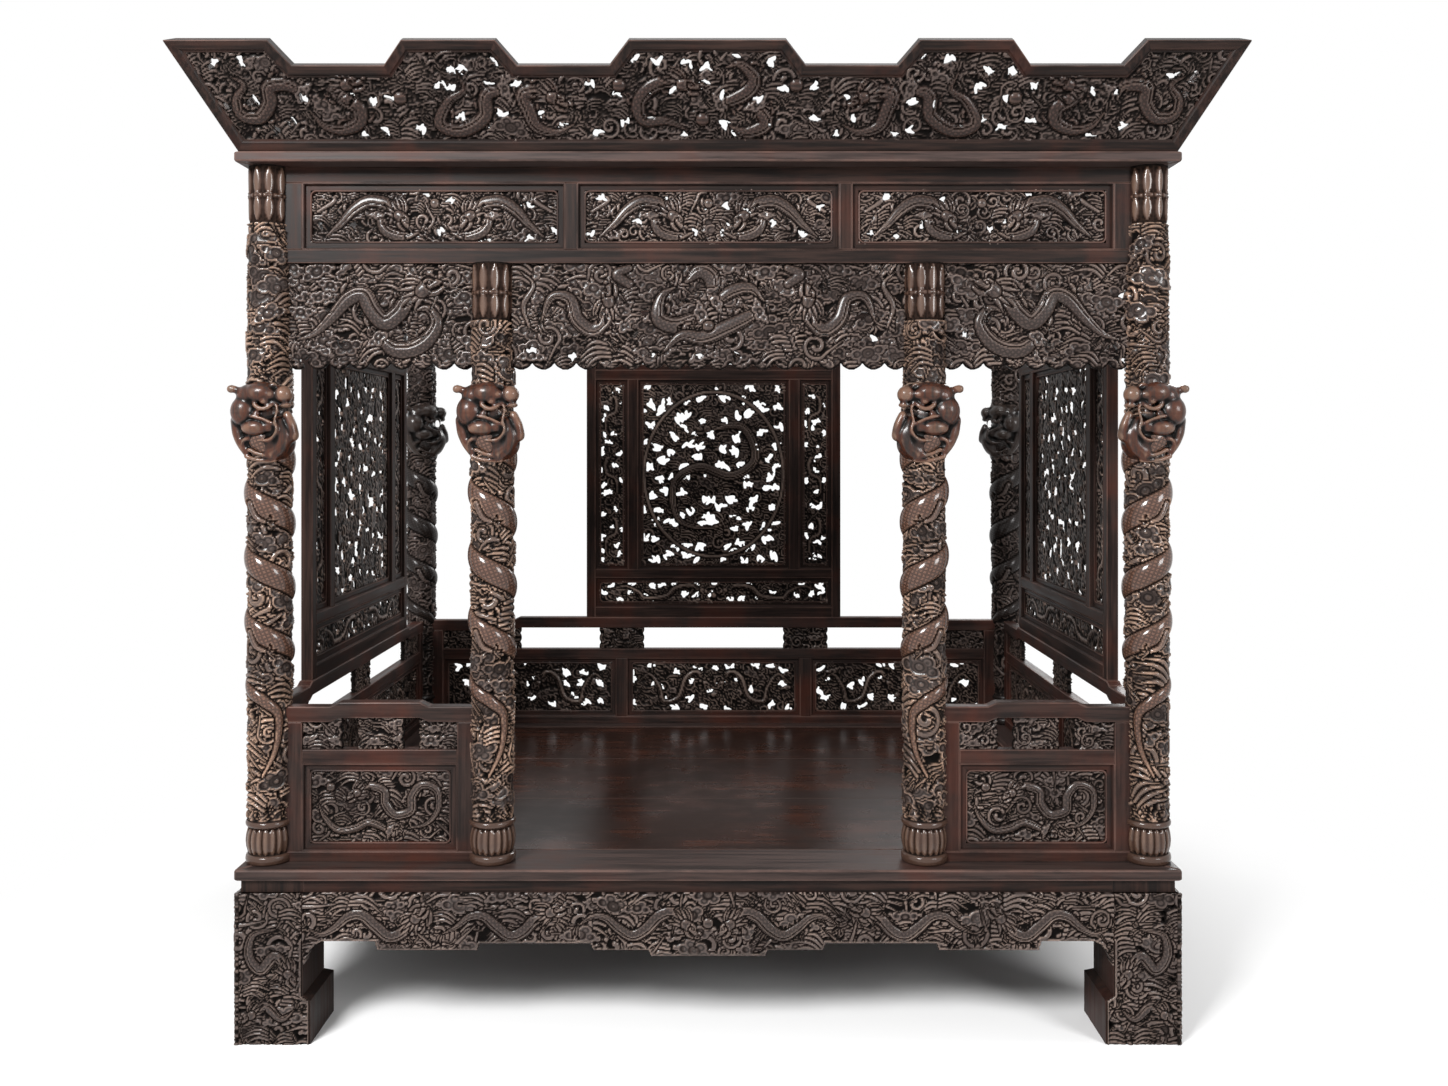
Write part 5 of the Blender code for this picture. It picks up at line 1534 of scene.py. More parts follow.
FRONT_RAIL_X = (POST_X + DOOR_X) / 2
for seed, (hand, sign) in enumerate((("left", -1), ("right", 1))):
    build_railing(f"front_rail_{hand}", "front", sign * FRONT_RAIL_X, 0.107, 1, [0], 0.1, 0.0027, 100 + 40 * seed)
    build_railing(f"{hand}_rail", hand, 0, 0.19, 2, [0], 0.148, 0.0048, 200 + 40 * seed)
strut = (node_length("back_rail_frame", "back") - 2 * RAIL_STILE + RAIL_MUNTIN) / 6
build_railing("back_rail", "back", 0, 0.29, 3, [-strut, strut], 0.148, 0.0047, 300)
print("railings", sum(count for name, count in TRIANGLES.items() if "rail" in name), "triangles")

# %% [markdown]
# Tall screens stand on the back and side railings. Each has a wide pierced panel, and narrow pierced
# strips on all four sides of it. The back one shows a dragon inside a ring; those at the sides are seen
# at a slant, so they are thin openwork that lets the light through.

# %% Screens
SCREEN_DEPTH = 0.015
SCREEN_LOW = DECK + RAIL_HIGH + RAIL_LIFT
SCREEN_STILE, SCREEN_STRIP, SCREEN_MUNTIN = 0.03, 0.117, 0.034
SCREEN_LEVELS, SCREEN_TOP = (0.035, 0.141, 0.169, 0.844, 0.876), 0.027


def ringed_dragon(relief, area, half, height, lift):
    """A dragon that coils inside a ring."""
    x0, y0, x1, y1 = area
    radius = min(x1 - x0, y1 - y0) / 2 - 0.008
    turn = np.linspace(0, math.tau, 90)
    middle = spot(area, 0, 0)
    tall = min(1.18, (y1 - y0) / (x1 - x0))
    stroke(
        relief, np.column_stack([middle[0] + radius * np.cos(turn), middle[1] + tall * radius * np.sin(turn)]),
        [0.007], height * 0.7, lift + 0.001, 0.6
    )
    body = spots(
        area, [(10, 50), (-40, 52), (-58, 18), (-25, -2), (20, 8), (55, -10), (48, -50), (0, -58), (-40, -42)]
    )
    dragon(relief, body, half, height, lift, 1, ((0.14, -1), (0.3, 1), (0.5, -1), (0.72, 1)))


def screen_carving(name, window, centre, ringed, matrix, nodes, fine, seed):
    area = window_area(window)
    x0, y0, x1, y1 = area
    drift = 0.0 if ringed else math.pi / 2
    size, gap = (0.032, 0.0285) if centre else (0.023, 0.021)
    depth, base = (0.0062, 0.0025) if ringed else (0.0034, 0.0012)
    relief, rng = clouded(area, fine, seed, size, gap, depth, (0.24, 0.32, 0.44), drift)
    if centre and ringed:
        ringed_dragon(relief, area, 0.0165, 0.0085, 0.0008)
    elif not centre and x1 - x0 > y1 - y0:
        vine_panel(relief, area, 0.011, 1.3 * depth, 0.0008)
    elif not centre:
        for number in range(3):
            low = y0 + (y1 - y0) * number / 3
            part = (x0, low, x1, low + (y1 - y0) / 3)
            body = spots(
                part, [(-20, 75), (40, 45), (35, 5), (-35, -15), (-40, -60), (20, -80)], 1 if number % 2 else -1
            )
            dragon(relief, body, 0.0095, 1.2 * depth, 0.0008, 1, ((0.3, 1), (0.6, -1)))
    pierce(relief, rng, area, *((0.045, 0.0135) if not centre else (0.056, 0.0185) if ringed else (0.062, 0.0215)))
    hold_border(relief, area, 0.006)
    carve_piece(name, relief, 1.5 * depth, base, matrix, nodes, material=SCREEN_CARVED)


def build_screen(name, side, fine, seed):
    node = f"{name}_frame"
    half = node_length(node, side) / 2
    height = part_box(node)[1].z - SCREEN_LOW
    inner = half - SCREEN_STILE
    strip = inner - SCREEN_STRIP
    centre = strip - SCREEN_MUNTIN
    levels = (*SCREEN_LEVELS, height - SCREEN_TOP)
    bars = [(-half, 0, -inner, height), (inner, 0, half, height)]
    bars += [
        (-inner, low, inner, high) for low, high in ((0, levels[0]), levels[1:3], levels[3:5], (levels[5], height))
    ]
    bars += [(-strip, levels[2], -centre, levels[3]), (centre, levels[2], strip, levels[3])]
    windows = [
        (-centre, levels[2], centre, levels[3]),
        (-inner, levels[0], inner, levels[1]),
        (-inner, levels[2], -strip, levels[3]),
        (strip, levels[2], inner, levels[3]),
        (-inner, levels[4], inner, levels[5]),
    ]
    matrix = side_matrix(side, post_line(side), up=SCREEN_LOW)
    frame_piece(f"{name}_carcass", side, bars, windows, SCREEN_DEPTH, matrix, [node], SCREEN_WOOD)
    for number, window in enumerate(windows):
        nodes = [f"{name}_panel"] if number == 0 else []
        screen_carving(
            f"{name}_carving_{number + 1}", window, number == 0, side == "back", matrix, nodes, fine, seed + number
        )


build_screen("back_screen", "back", 0.0044, 400)
build_screen("left_screen", "left", 0.0057, 420)
build_screen("right_screen", "right", 0.0057, 440)
print("screens", sum(count for name, count in TRIANGLES.items() if "screen" in name), "triangles")

# %% [markdown]
# The crown leans outwards over the cornice on three sides, with a battlement outline. Its border is a
# moulding like the others, drawn round the outline, and the pierced carving fills the middle.

# %% Crown
CROWN_HALF, CROWN_LEAN, CROWN_RISE, CROWN_INSET = 0.013, 0.121, 0.218, 0.008
CROWN_ANGLE = math.atan2(CROWN_LEAN, CROWN_RISE)
CROWN_SLOPE = math.hypot(CROWN_LEAN, CROWN_RISE)
CROWN_SUNK = 0.0126
CROWN_BORDER = 0.027
CROWN_CENTRE, CROWN_REPEAT = 0.175, 0.506
CROWN_NOTCH = ((0.0, 0.0), (0.045, 0.055), (0.252, 0.055), (0.297, 0.0))


def crown_outline(side, bottom=0.0):
    """Battlement outline, drawn on the slope of the board from its lower left corner."""
    foot = end_line(side) - CROWN_INSET
    flare = CROWN_LEAN / CROWN_SLOPE
    top = []
    run = CROWN_CENTRE
    for _ in range(2 if is_long(side) else 1):
        top += [(run + along, CROWN_SLOPE - drop) for along, drop in CROWN_NOTCH]
        run += CROWN_REPEAT
    ends = []
    for sign in (-1, 1):
        square = side == ("left" if sign < 0 else "right")
        ends.append([(sign * (foot + (0 if square else flare * y)), y) for y in (bottom, CROWN_SLOPE)])
    left, right = ends
    return [left[0], right[0], right[1]] + top[::-1] + [(-x, y) for x, y in top] + [left[1]]


def offset_outline(points, inset):
    """The outline moved inwards by that much, with mitred corners."""
    p = np.asarray(points, float)
    way = np.roll(p, -1, 0) - p
    way /= np.hypot(way[:, 0], way[:, 1])[:, None]
    inward = np.column_stack([-way[:, 1], way[:, 0]])
    before = np.roll(inward, 1, 0)
    mitre = inward + before
    mitre *= (inset / (0.5 * (mitre**2).sum(1)))[:, None]
    return [tuple(point) for point in p + mitre]


def crown_matrix(side):
    turn = Matrix.Rotation(SIDE_ANGLES[side], 4, "Z")
    place = Matrix.Translation((0, -(edge_line(side) - CROWN_INSET), CORNICE_HIGH))
    lean = Matrix.Rotation(math.pi / 2 + CROWN_ANGLE, 4, "X")
    return Matrix.Translation((0, BED_MIDDLE, 0)) @ turn @ place @ lean @ Matrix.Translation((0, 0, -CROWN_HALF))


def mitre_crown(bm, side):
    """Cuts the border where the boards meet at the front corners."""
    back = crown_matrix(side).inverted()
    for sign, hand in ((-1, "left"), (1, "right")):
        if side not in ("front", hand):
            continue
        corner = Vector((sign * (EDGE_X - CROWN_INSET), BED_MIDDLE - EDGE_Y + CROWN_INSET, CORNICE_HIGH))
        away = Vector((sign, 1, 0)).normalized() * (1 if side == "front" else -1)
        geometry = bm.verts[:] + bm.edges[:] + bm.faces[:]
        cut = bmesh.ops.bisect_plane(
            bm, geom=geometry, plane_co=back @ corner, plane_no=back.to_3x3() @ away, clear_outer=True
        )
        rim = [item for item in cut["geom_cut"] if isinstance(item, bmesh.types.BMEdge) and item.is_boundary]
        bmesh.ops.holes_fill(bm, edges=rim, sides=0)


# Bodies on the left half in millimetres, from neck to tail, and whether a head shows; the right half mirrors them
CROWN_BODIES = (
    (
        [
            (-926, 135), (-953, 150), (-994, 145), (-999, 110), (-1027, 77), (-1066, 82), (-1072, 116), (-1050, 150),
            (-1080, 170)
        ],
        False
    ),
    ([(-816, 150), (-846, 142), (-829, 118), (-797, 96), (-802, 64), (-843, 48), (-882, 58), (-910, 92)], True),
    ([(-467, 140), (-504, 126), (-513, 78), (-566, 47), (-614, 62), (-590, 112), (-552, 140), (-566, 178)], False),
    ([(-352, 120), (-385, 136), (-420, 128), (-410, 94), (-394, 56), (-348, 42), (-307, 62)], True),
)
CROWN_MIDDLE = (
    ([(-55, 150), (-96, 156), (-134, 140), (-158, 106), (-145, 70), (-92, 68), (-44, 46)], True),
    ([(36, 108), (88, 132), (106, 164), (72, 196), (40, 188)], False),
    ([(116, 100), (134, 62), (88, 42), (46, 60)], False),
)
CROWN_PEARLS = ((-201, 149), (201, 149), (-12, 72), (-700, 120), (700, 120))


def crown_carving(relief, side, half, height, lift):
    bodies = list(CROWN_MIDDLE)
    for body, head in CROWN_BODIES if is_long(side) else CROWN_BODIES[2:]:
        bodies += [(body, head), ([(-x, y) for x, y in body], head)]
    for number, (body, head) in enumerate(bodies):
        body = np.array(body) / 1000
        spine = 1 if number % 2 else -1
        for x, y in (body[0], body[-1], body[len(body) // 2]):
            flames(relief, x, y, half * 1.5, 0.7 + 2.1 * number, spine, 4, height * 0.7, lift)
        dragon(relief, body, half, height, lift, spine, ((0.22, -1), (0.48, 1), (0.72, -1)), head)
    for x, y in np.array(CROWN_PEARLS) / 1000:
        ball(relief, x, y, half * 0.9, height, lift)


def build_crown(side, fine, seed):
    outline = crown_outline(side)
    bm = new_frame_mesh()
    h = CROWN_HALF
    section = [
        (0, h - 0.002), (0.002, h), (CROWN_BORDER - 0.007, h), (CROWN_BORDER - 0.004, h - 0.003),
        (CROWN_BORDER, h - 0.004)
    ]
    section += [(inset, -depth) for inset, depth in reversed(section)]
    sunk = crown_outline(side, -CROWN_SUNK)
    add_ring(bm, lambda inset: offset_outline(outline, inset) if inset else sunk, section)
    mitre_crown(bm, side)
    finish_piece(
        f"crown_{side}_border", bm, side_woods(side), [f"crown_{side}"], crown_matrix(side)
    )
    inner = offset_outline(outline, CROWN_BORDER - 0.004)
    xs, ys = zip(*inner)
    area = (min(xs), min(ys), max(xs), max(ys))
    relief, rng = clouded(area, fine, seed, 0.033, 0.029, 0.0066, (0.1, 0.4, 0.5))
    crown_carving(relief, side, 0.0175, 0.0094, 0.001)
    rim = outline_gap(relief, inner)
    pierce(relief, rng, area, 0.068, 0.0135)
    relief.clear = np.minimum(relief.clear, np.abs(rim) - 0.008)
    relief.clear = np.maximum(relief.clear, rim)
    carve_piece(f"crown_{side}_carving", relief, 0.0098, 0.0025, crown_matrix(side), material=CROWN_WOOD)


build_crown("front", 0.0036, 500)
build_crown("left", 0.0056, 501)
build_crown("right", 0.0056, 502)
print("crown", {name: count for name, count in TRIANGLES.items() if "crown" in name})
# %% [markdown]
# The six posts are columns carved all round: a gadrooned drum between two rings, a shaft wrapped in
# clouds with a dragon winding down it, and a capital of two tiers of petals with a row of beads.
# The same carving grid serves, rolled into a cylinder: it wraps round, so the tools paint across the
# seam, and welding the seam closes the column.

# %% Posts
SHAFT_R = 0.05
AROUND = math.tau * SHAFT_R
DRUM_LOW, DRUM_HIGH, RING_HIGH = 0.022, 0.086, 0.102
CAPITAL_LOW, BAND_LOW, BAND_HIGH = 0.131, 0.076, 0.066
COIL_TOP, COIL_PITCH = 0.992, 0.151
GADROONS, PETALS, BEADS = 20, 10, 26


def turned_radius(z, high):
    """The plain turned shape under the carving."""
    levels = [
        (0, 0.0505), (0.003, 0.0535), (0.011, 0.0548), (0.019, 0.0535), (0.022, 0.048), (0.025, 0.045), (0.04, 0.049),
        (0.054, 0.0502),
        (0.068, 0.049), (0.083, 0.045), (0.086, 0.048), (0.089, 0.0535), (0.094, 0.0545), (0.099, 0.0535),
        (0.102, 0.0495), (0.105, 0.0425),
        (high - 0.135, 0.0425), (high - 0.131, 0.0432), (high - 0.079, 0.044), (high - 0.076, 0.0462),
        (high - 0.071, 0.0478),
        (high - 0.066, 0.0462), (high - 0.063, 0.044), (high - 0.006, 0.045), (high - 0.003, 0.0475), (high, 0.0475),
    ]
    return np.interp(z, *zip(*levels))


def petals(angle, share, count, point_at):
    """Rounded petals side by side; share runs up the tier and point_at is where they narrow."""
    f = (angle * count / math.tau) % 1.0 * 2 - 1
    share = np.clip(share, 0, 1)
    t = share if point_at == "top" else 1 - share
    wide = np.clip(np.sin((0.12 + 0.88 * t) * math.pi), 1e-3, 1) ** 0.75
    front = np.sqrt(np.clip(1 - (f / (0.84 * wide)) ** 2, 0, 1))
    behind = 0.26 * np.sqrt(np.clip(1 - ((1 - np.abs(f)) / (0.42 * np.maximum(wide, 0.35))) ** 2, 0, 1))
    return np.maximum(front, behind)


def gadroons(angle, share, count):
    """Long rounded lobes with round ends."""
    f = (angle * count / math.tau) % 1.0 * 2 - 1
    end = np.clip(np.minimum(share, 1 - share) / 0.12, 1e-3, 1)
    return np.sqrt(np.clip(1 - (f / (0.93 * np.sqrt(end))) ** 2, 0, 1))


def shaft_carving(relief, high, rng):
    """Clouds all over the shaft, and the dragon's body that winds down it."""
    low, top = RING_HIGH, high - CAPITAL_LOW
    area = (-AROUND / 2, low, AROUND / 2, top)
    scatter(relief, rng, area, 0.046, 0.04, 0.0098, mix=(0.52, 0.16, 0.32))
    for number in range(9):
        x = AROUND * (number / 9 - 0.5)
        flames(relief, x, low + 0.004, 0.016, math.pi / 2, 1 if number % 2 else -1, 4, 0.006, 0.001)
    turns = np.linspace(-0.1, 4.0, 150)
    body = np.column_stack([turns * AROUND, COIL_TOP - COIL_PITCH * turns])
    tail = np.array(
        [
            [4.12 * AROUND, COIL_TOP - 4.12 * COIL_PITCH - 0.02], [4.1 * AROUND, COIL_TOP - 4.1 * COIL_PITCH - 0.1],
            [4.0 * AROUND, COIL_TOP - 4.0 * COIL_PITCH - 0.18]
        ]
    )
    path = np.vstack([body, curve(np.vstack([body[-1:], tail]), 14)[1:]])
    path[:, 0] -= 2 * AROUND
    coil_body(relief, path)
    for turn, side in ((0.9, 1), (1.45, -1), (2.9, 1), (3.45, -1)):
        at = np.array([(turn + 0.5) % 1.0 - 0.5, 0.0]) * AROUND
        at[1] = COIL_TOP - COIL_PITCH * turn - 0.01
        dragon_leg(relief, at, np.array([0.3 * side, -0.95]), np.array([side, -0.25]), 0.0165, 0.0105, 0.0052, 0.3)


def coil_body(relief, path):
    """The wound body is longer than the grid is wide; the grid's turns bring each length back onto it."""
    widths = np.interp(np.linspace(0, 1, 60), [0, 0.6, 0.85, 1], [0.029, 0.027, 0.017, 0.004])
    stroke(relief, path, widths, 0.014, 0.0018, 1.0, flat=0.5)


def build_post(name, x, y, turn, fine, seed):
    node = f"post_{name}"
    hand = 1 if "left" in name else -1
    high = (FRIEZE_LOW if "door" in name else CORNICE_LOW) - DECK - 0.0003
    columns = round(AROUND / pitch(fine))
    trim = pitch(fine) * 0.55
    rows = [
        np.arange(0, RING_HIGH, trim), np.arange(RING_HIGH, high - CAPITAL_LOW, pitch(fine)),
        np.arange(high - CAPITAL_LOW, high, trim), [high]
    ]
    relief = Relief(np.linspace(-AROUND / 2, AROUND / 2, columns + 1), np.concatenate(rows), wrap=AROUND)
    shaft_carving(relief, high, np.random.default_rng(seed))
    z = relief.y[:, None]
    angle = (relief.x / SHAFT_R)[None, :]
    everywhere = np.ones(relief.height.shape, bool)
    on_shaft = (z > RING_HIGH + 0.003) & (z < high - CAPITAL_LOW - 0.003)
    relief.height *= on_shaft
    marks = carving_marks(relief, 0.015)
    turned = np.zeros_like(relief.height)
    tiers = (
        (DRUM_LOW + 0.002, DRUM_HIGH - 0.002, lambda s: gadroons(angle, s, GADROONS), 0.0042),
        (high - CAPITAL_LOW, high - BAND_LOW, lambda s: petals(angle, s, PETALS, "bottom"), 0.005),
        (
            high - BAND_LOW, high - BAND_HIGH,
            lambda s: gadroons(angle, 0.5 + 0 * s, BEADS) * np.sin(np.clip(s, 0, 1) * math.pi) ** 0.5, 0.0018
        ),
        (high - BAND_HIGH, high - 0.003, lambda s: petals(angle, s, PETALS, "top"), 0.0048),
    )
    for start, end, shape, depth in tiers:
        inside = (z >= start) & (z <= end) & everywhere
        dome = shape((z - start) / (end - start)) * inside
        turned += dome * depth
        # The tiers' marks paint shade into the gaps between petals and lobes and a rubbed highlight on their crowns.
        marks[..., 0][inside] = 0.25 + 0.65 * dome[inside]
        marks[..., 1][inside] = np.clip(1.5 * (0.62 - dome[inside]), 0, 1)
        marks[..., 2][inside] = 0.9
        marks[..., 3][inside] = 0.42 * dome[inside] ** 3
    rings = ~on_shaft & (turned == 0)
    marks[..., 0][rings] = np.maximum(marks[..., 0][rings], 0.55)
    smooth_rings = ((z < DRUM_LOW) | ((z > DRUM_HIGH) & (z < RING_HIGH))) & everywhere
    marks[..., 0][smooth_rings] = 0.7
    marks[..., 1][smooth_rings] = 0
    marks[..., 2][smooth_rings] = 0.9
    # The plain rings get a faint rubbed highlight, partly painted.
    marks[..., 3][rings | smooth_rings] = 0.14
    relief.lines[~on_shaft & everywhere] = 0
    radius = turned_radius(z, high) + relief.height + turned
    around = angle * hand + turn
    places = np.stack([x + radius * np.sin(around), y - radius * np.cos(around), DECK + z + 0 * radius], 2)
    bm = grid_bmesh(relief, places, marks, np.ones((len(relief.y) - 1, columns), bool))
    bmesh.ops.remove_doubles(bm, verts=bm.verts, dist=1e-5)
    bmesh.ops.holes_fill(bm, edges=[edge for edge in bm.edges if edge.is_boundary], sides=0)
    # Posts at the back take the darker copy of the finish, painted shade.
    finish_piece(f"{node}_carving", bm, [POST_WOOD if y < 0 else FAR_POST_WOOD], [node])


FRONT_Y, BACK_Y = BED_MIDDLE - POST_Y, BED_MIDDLE + POST_Y
POSTS = {
    "front_left": (-POST_X, FRONT_Y, 0.0),
    "door_left": (-DOOR_X, FRONT_Y, 0.0),
    "door_right": (DOOR_X, FRONT_Y, 0.0),
    "front_right": (POST_X, FRONT_Y, 0.0),
    "back_left": (-POST_X, BACK_Y, math.radians(40)),
    "back_right": (POST_X, BACK_Y, math.radians(-40)),
}
for seed, (name, (x, y, turn)) in enumerate(POSTS.items()):
    build_post(name, x, y, turn, 0.0035 if y < 0 else 0.0049, 600 + seed)
print("posts", {name: count for name, count in TRIANGLES.items() if "post" in name})

# %% [markdown]
# Each post's dragon ends in a head carved in the round. Such a blobby form is easiest to build from
# overlapping balls and tubes. A voxel remesh melts them into one skin and smoothing takes the seams
# away, much as a carver works from rough blocks to a finished face.
# The marks for the finish are measured on the skin itself: where it bulges above its surroundings it
# gets a rubbed highlight, partly painted, and where it lies below them it is painted dark, as shade.

# %% Dragon heads
HEAD_UP = 1.04
# In millimetres from the post's axis at that height: across, ahead and up. Then come the three half sizes
# of a ball, or the radii at the two ends of a tube.
HEAD_BALLS = (
    (-10, 18, -4, 54, 40, 86), (-4, 40, 64, 41, 34, 28), (16, 50, 60, 24, 21, 17),
    (-32, 32, 56, 34, 33, 31), (50, 48, 60.5, 21.5, 22, 21), (32, 44, 54, 20, 20, 14),
    (54, 48, 36, 15, 14, 6.8), (10, 60, 46, 12, 11, 9.5), (-44, 36, 22, 34, 36, 38),
    (-10, 57, 16, 9.5, 9, 9), (-14, 48, -16, 36, 26, 21), (18, 47, -14, 25, 22, 17),
    (30, 28, -52, 40, 36, 42),
)
HEAD_TUBES = (
    (((-28, 36, 66), (-48, 40, 68), (-63, 40, 71)), 12, 8.5),
    (((-67, 40, 73), (-73.5, 40, 74.5), (-77, 40, 74)), 9, 10),
    (((-18, 57, 50), (-10, 64, 34), (6, 67, 27), (22, 64, 33), (29, 57, 45)), 6, 5),
    (((30, 58, 48), (40, 64, 26), (36, 68, 0), (40, 70, -24), (22, 64, -44), (-6, 60, -46)), 4.2, 3.6),
    (((-20, 64, 10), (0, 66, 6), (20, 66, -2), (40, 64, -14), (58, 58, -22)), 4.2, 4),
    (((58, 46, 12), (66, 46, -10), (69, 43, -34)), 11, 15.5),
    (((36, 44, -12), (49, 45, -38), (40, 43, -60), (24, 42, -74)), 23, 22),
    (((-64, 26, 0), (-61, 30, -28), (-52, 34, -52), (-38, 36, -74)), 19, 12),
    (((-30, 50, -40), (-44, 48, -46), (-50, 44, -60)), 5, 4),
    (((-30, 50, -68), (-6, 54, -78), (24, 56, -82)), 5.2, 4.6),
    (((-40, 44, -84), (-10, 50, -92), (30, 50, -94)), 5.6, 5),
    (((14, 50, 78), (28, 52, 84), (36, 48, 76)), 6.6, 4.8),
)


def head_lump(bm, place, radii, sides):
    """A ball made in a mesh of its own, which is much quicker than making it in the growing head."""
    ball_mesh = bpy.data.meshes.new("head_ball")
    small = bmesh.new()
    matrix = Matrix.Translation(place) @ Matrix.Diagonal((*radii, 1))
    bmesh.ops.create_uvsphere(small, u_segments=sides, v_segments=sides // 2 + 2, radius=1, matrix=matrix)
    small.to_mesh(ball_mesh)
    small.free()
    bm.from_mesh(ball_mesh)
    bpy.data.meshes.remove(ball_mesh)


def remeshed(mesh, size):
    """The shape melted into one even skin."""
    rough = bpy.data.objects.new("rough_head", mesh)
    bpy.context.scene.collection.objects.link(rough)
    remesh = rough.modifiers.new("skin", "REMESH")
    remesh.mode = "VOXEL"
    remesh.voxel_size = size
    melted = bpy.data.meshes.new_from_object(rough.evaluated_get(bpy.context.evaluated_depsgraph_get()))
    bpy.data.objects.remove(rough)
    return melted


def skin_marks(mesh, reach):
    """Marks for the finish: how far each point stands above the average of its surroundings."""
    count = len(mesh.vertices)
    places = np.empty(count * 3)
    mesh.vertices.foreach_get("co", places)
    places = places.reshape(-1, 3)
    normals = np.empty(count * 3)
    mesh.vertex_normals.foreach_get("vector", normals)
    normals = normals.reshape(-1, 3)
    ends = np.empty(len(mesh.edges) * 2, int)
    mesh.edges.foreach_get("vertices", ends)
    a, b = ends.reshape(-1, 2).T
    links = np.bincount(np.concatenate([a, b]), minlength=count)[:, None]
    around = places
    for _ in range(reach):
        total = np.zeros_like(places)
        np.add.at(total, a, around[b])
        np.add.at(total, b, around[a])
        around = total / np.maximum(1, links)
    proud = ((places - around) * normals).sum(1)
    # Points below their surroundings get painted shade in the finish, points above a rubbed highlight.
    level = np.clip(0.55 + proud / 0.0035, 0, 1)
    hollow = np.clip(-proud / 0.0018, 0, 1)
    marks = np.column_stack([level, hollow, np.ones(count), np.ones(count)])
    mesh.attributes.new("carving", "FLOAT_COLOR", "POINT").data.foreach_set("color", marks.ravel())
    mesh.attributes.new("lines", "FLOAT_VECTOR", "POINT").data.foreach_set("vector", np.zeros(count * 3))


def head_mesh(size):
    """A head for a left post, at the post's axis, facing the front."""
    bm = bmesh.new()
    for middle, ahead, up, *radii in np.array(HEAD_BALLS) / 1000:
        head_lump(bm, (middle, -ahead, up), radii, 20)
    for points, *ends in HEAD_TUBES:
        points = np.array(points) / 1000
        thick, thin = np.array(ends) / 1000
        path = curve([(m, u) for m, a, u in points], 10)
        depth = np.interp(np.linspace(0, 1, len(path)), np.linspace(0, 1, len(points)), [a for m, a, u in points])
        for share, (m, u), a in zip(np.linspace(0, 1, len(path)), path, depth):
            r = thick + (thin - thick) * share
            head_lump(bm, (m, -a, u), (r, r, r), 10)
    mesh = bpy.data.meshes.new("rough_head")
    bm.to_mesh(mesh)
    bm.free()
    melted = remeshed(mesh, size)
    bm = bmesh.new()
    bm.from_mesh(melted)
    for _ in range(5):
        bmesh.ops.smooth_vert(bm, verts=bm.verts, factor=0.5, use_axis_x=True, use_axis_y=True, use_axis_z=True)
    for face in bm.faces:
        face.smooth = True
    bm.to_mesh(melted)
    bm.free()
    skin_marks(melted, 14)
    return melted


near_head, far_head = head_mesh(pitch(0.0027)), head_mesh(pitch(0.0038))
for name, (x, y, turn) in POSTS.items():
    bm = bmesh.new()
    bm.from_mesh(near_head if y < 0 else far_head)
    flip = Matrix.Diagonal((1 if "left" in name else -1, 1, 1, 1))
    place = Matrix.Translation((x, y, DECK + HEAD_UP)) @ Matrix.Rotation(turn, 4, "Z") @ flip
    # Heads at the back take the darker copy of the finish, painted shade.
    finish_piece(
        f"post_{name}_dragon_head", bm, [HEAD_WOOD if y < 0 else FAR_HEAD_WOOD], (), place
    )
bpy.data.meshes.remove(near_head)
bpy.data.meshes.remove(far_head)
print("heads", {name: count for name, count in TRIANGLES.items() if "head" in name})
# %% [markdown]
# The platform and the cornice are flat frames with mitred corners, and the deck between the platform's
# members is three long boards. The outer edge of both frames is softened by a wide bevel, where the
# light catches it.

# %% Platform, cornice and deck
PLATFORM_WIDE, CORNICE_WIDE = 0.15, 0.14


def flat_frame(name, wide, low, high, arris, woods):
    """Four mitred members, each a board drawn in plan."""
    for side in SIDE_ANGLES:
        reach = end_line(side) - 0.0004
        out = edge_line(side)
        bm = new_frame_mesh()
        plan = [(-reach, -out), (reach, -out), (reach - wide, wide - out), (wide - reach, wide - out)]
        add_board(bm, plan, low, high, LYING, arris)
        turn = Matrix.Translation((0, BED_MIDDLE, 0)) @ Matrix.Rotation(SIDE_ANGLES[side], 4, "Z")
        finish_piece(
            f"{name}_{side}_member", bm, [woods["x" if is_long(side) else "y"]], [f"{name}_{side}"],
            turn
        )


def build_deck():
    for number in (1, 2, 3):
        low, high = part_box(f"deck_board_{number}")
        bm = new_frame_mesh()
        front = low.y if number > 1 else -EDGE_Y + BED_MIDDLE + PLATFORM_WIDE
        back = high.y - (0.01 if number == 3 else 0.0)
        reach = EDGE_X - PLATFORM_WIDE - 0.0004
        add_board(bm, rectangle(-reach, front, reach, back - 0.0006), low.z, DECK - 0.0002, LYING, 0.0012)
        finish_piece(f"deck_plank_{number}", bm, [DECK_WOOD], [f"deck_board_{number}"])
    for number in (1, 2):
        low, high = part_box(f"deck_bearer_{number}")
        bm = new_frame_mesh()
        add_board(bm, rectangle(low.x, low.y, high.x, high.y), low.z, high.z, LYING, 0.003)
        finish_piece(f"deck_bearer_{number}_bar", bm, [FRAME_WOOD["y"]], [f"deck_bearer_{number}"])


flat_frame("platform", PLATFORM_WIDE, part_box("platform_front")[0].z, DECK, 0.0045, EDGE_WOOD)
flat_frame("cornice", CORNICE_WIDE, CORNICE_LOW, CORNICE_HIGH, 0.0045, CORNICE_WOOD)
build_deck()
print("platform, cornice and deck", round(EDGE_X * 2, 3), "by", round(EDGE_Y * 2, 3))
# %% [markdown]
# The bed stands on a plain pale floor under soft light, as in a photographer's studio. Four large lamps
# give the light. The floor catches the shadow near the bed and fades to plain white further out, which
# only the camera and reflections see, so the white adds no light to the wood.

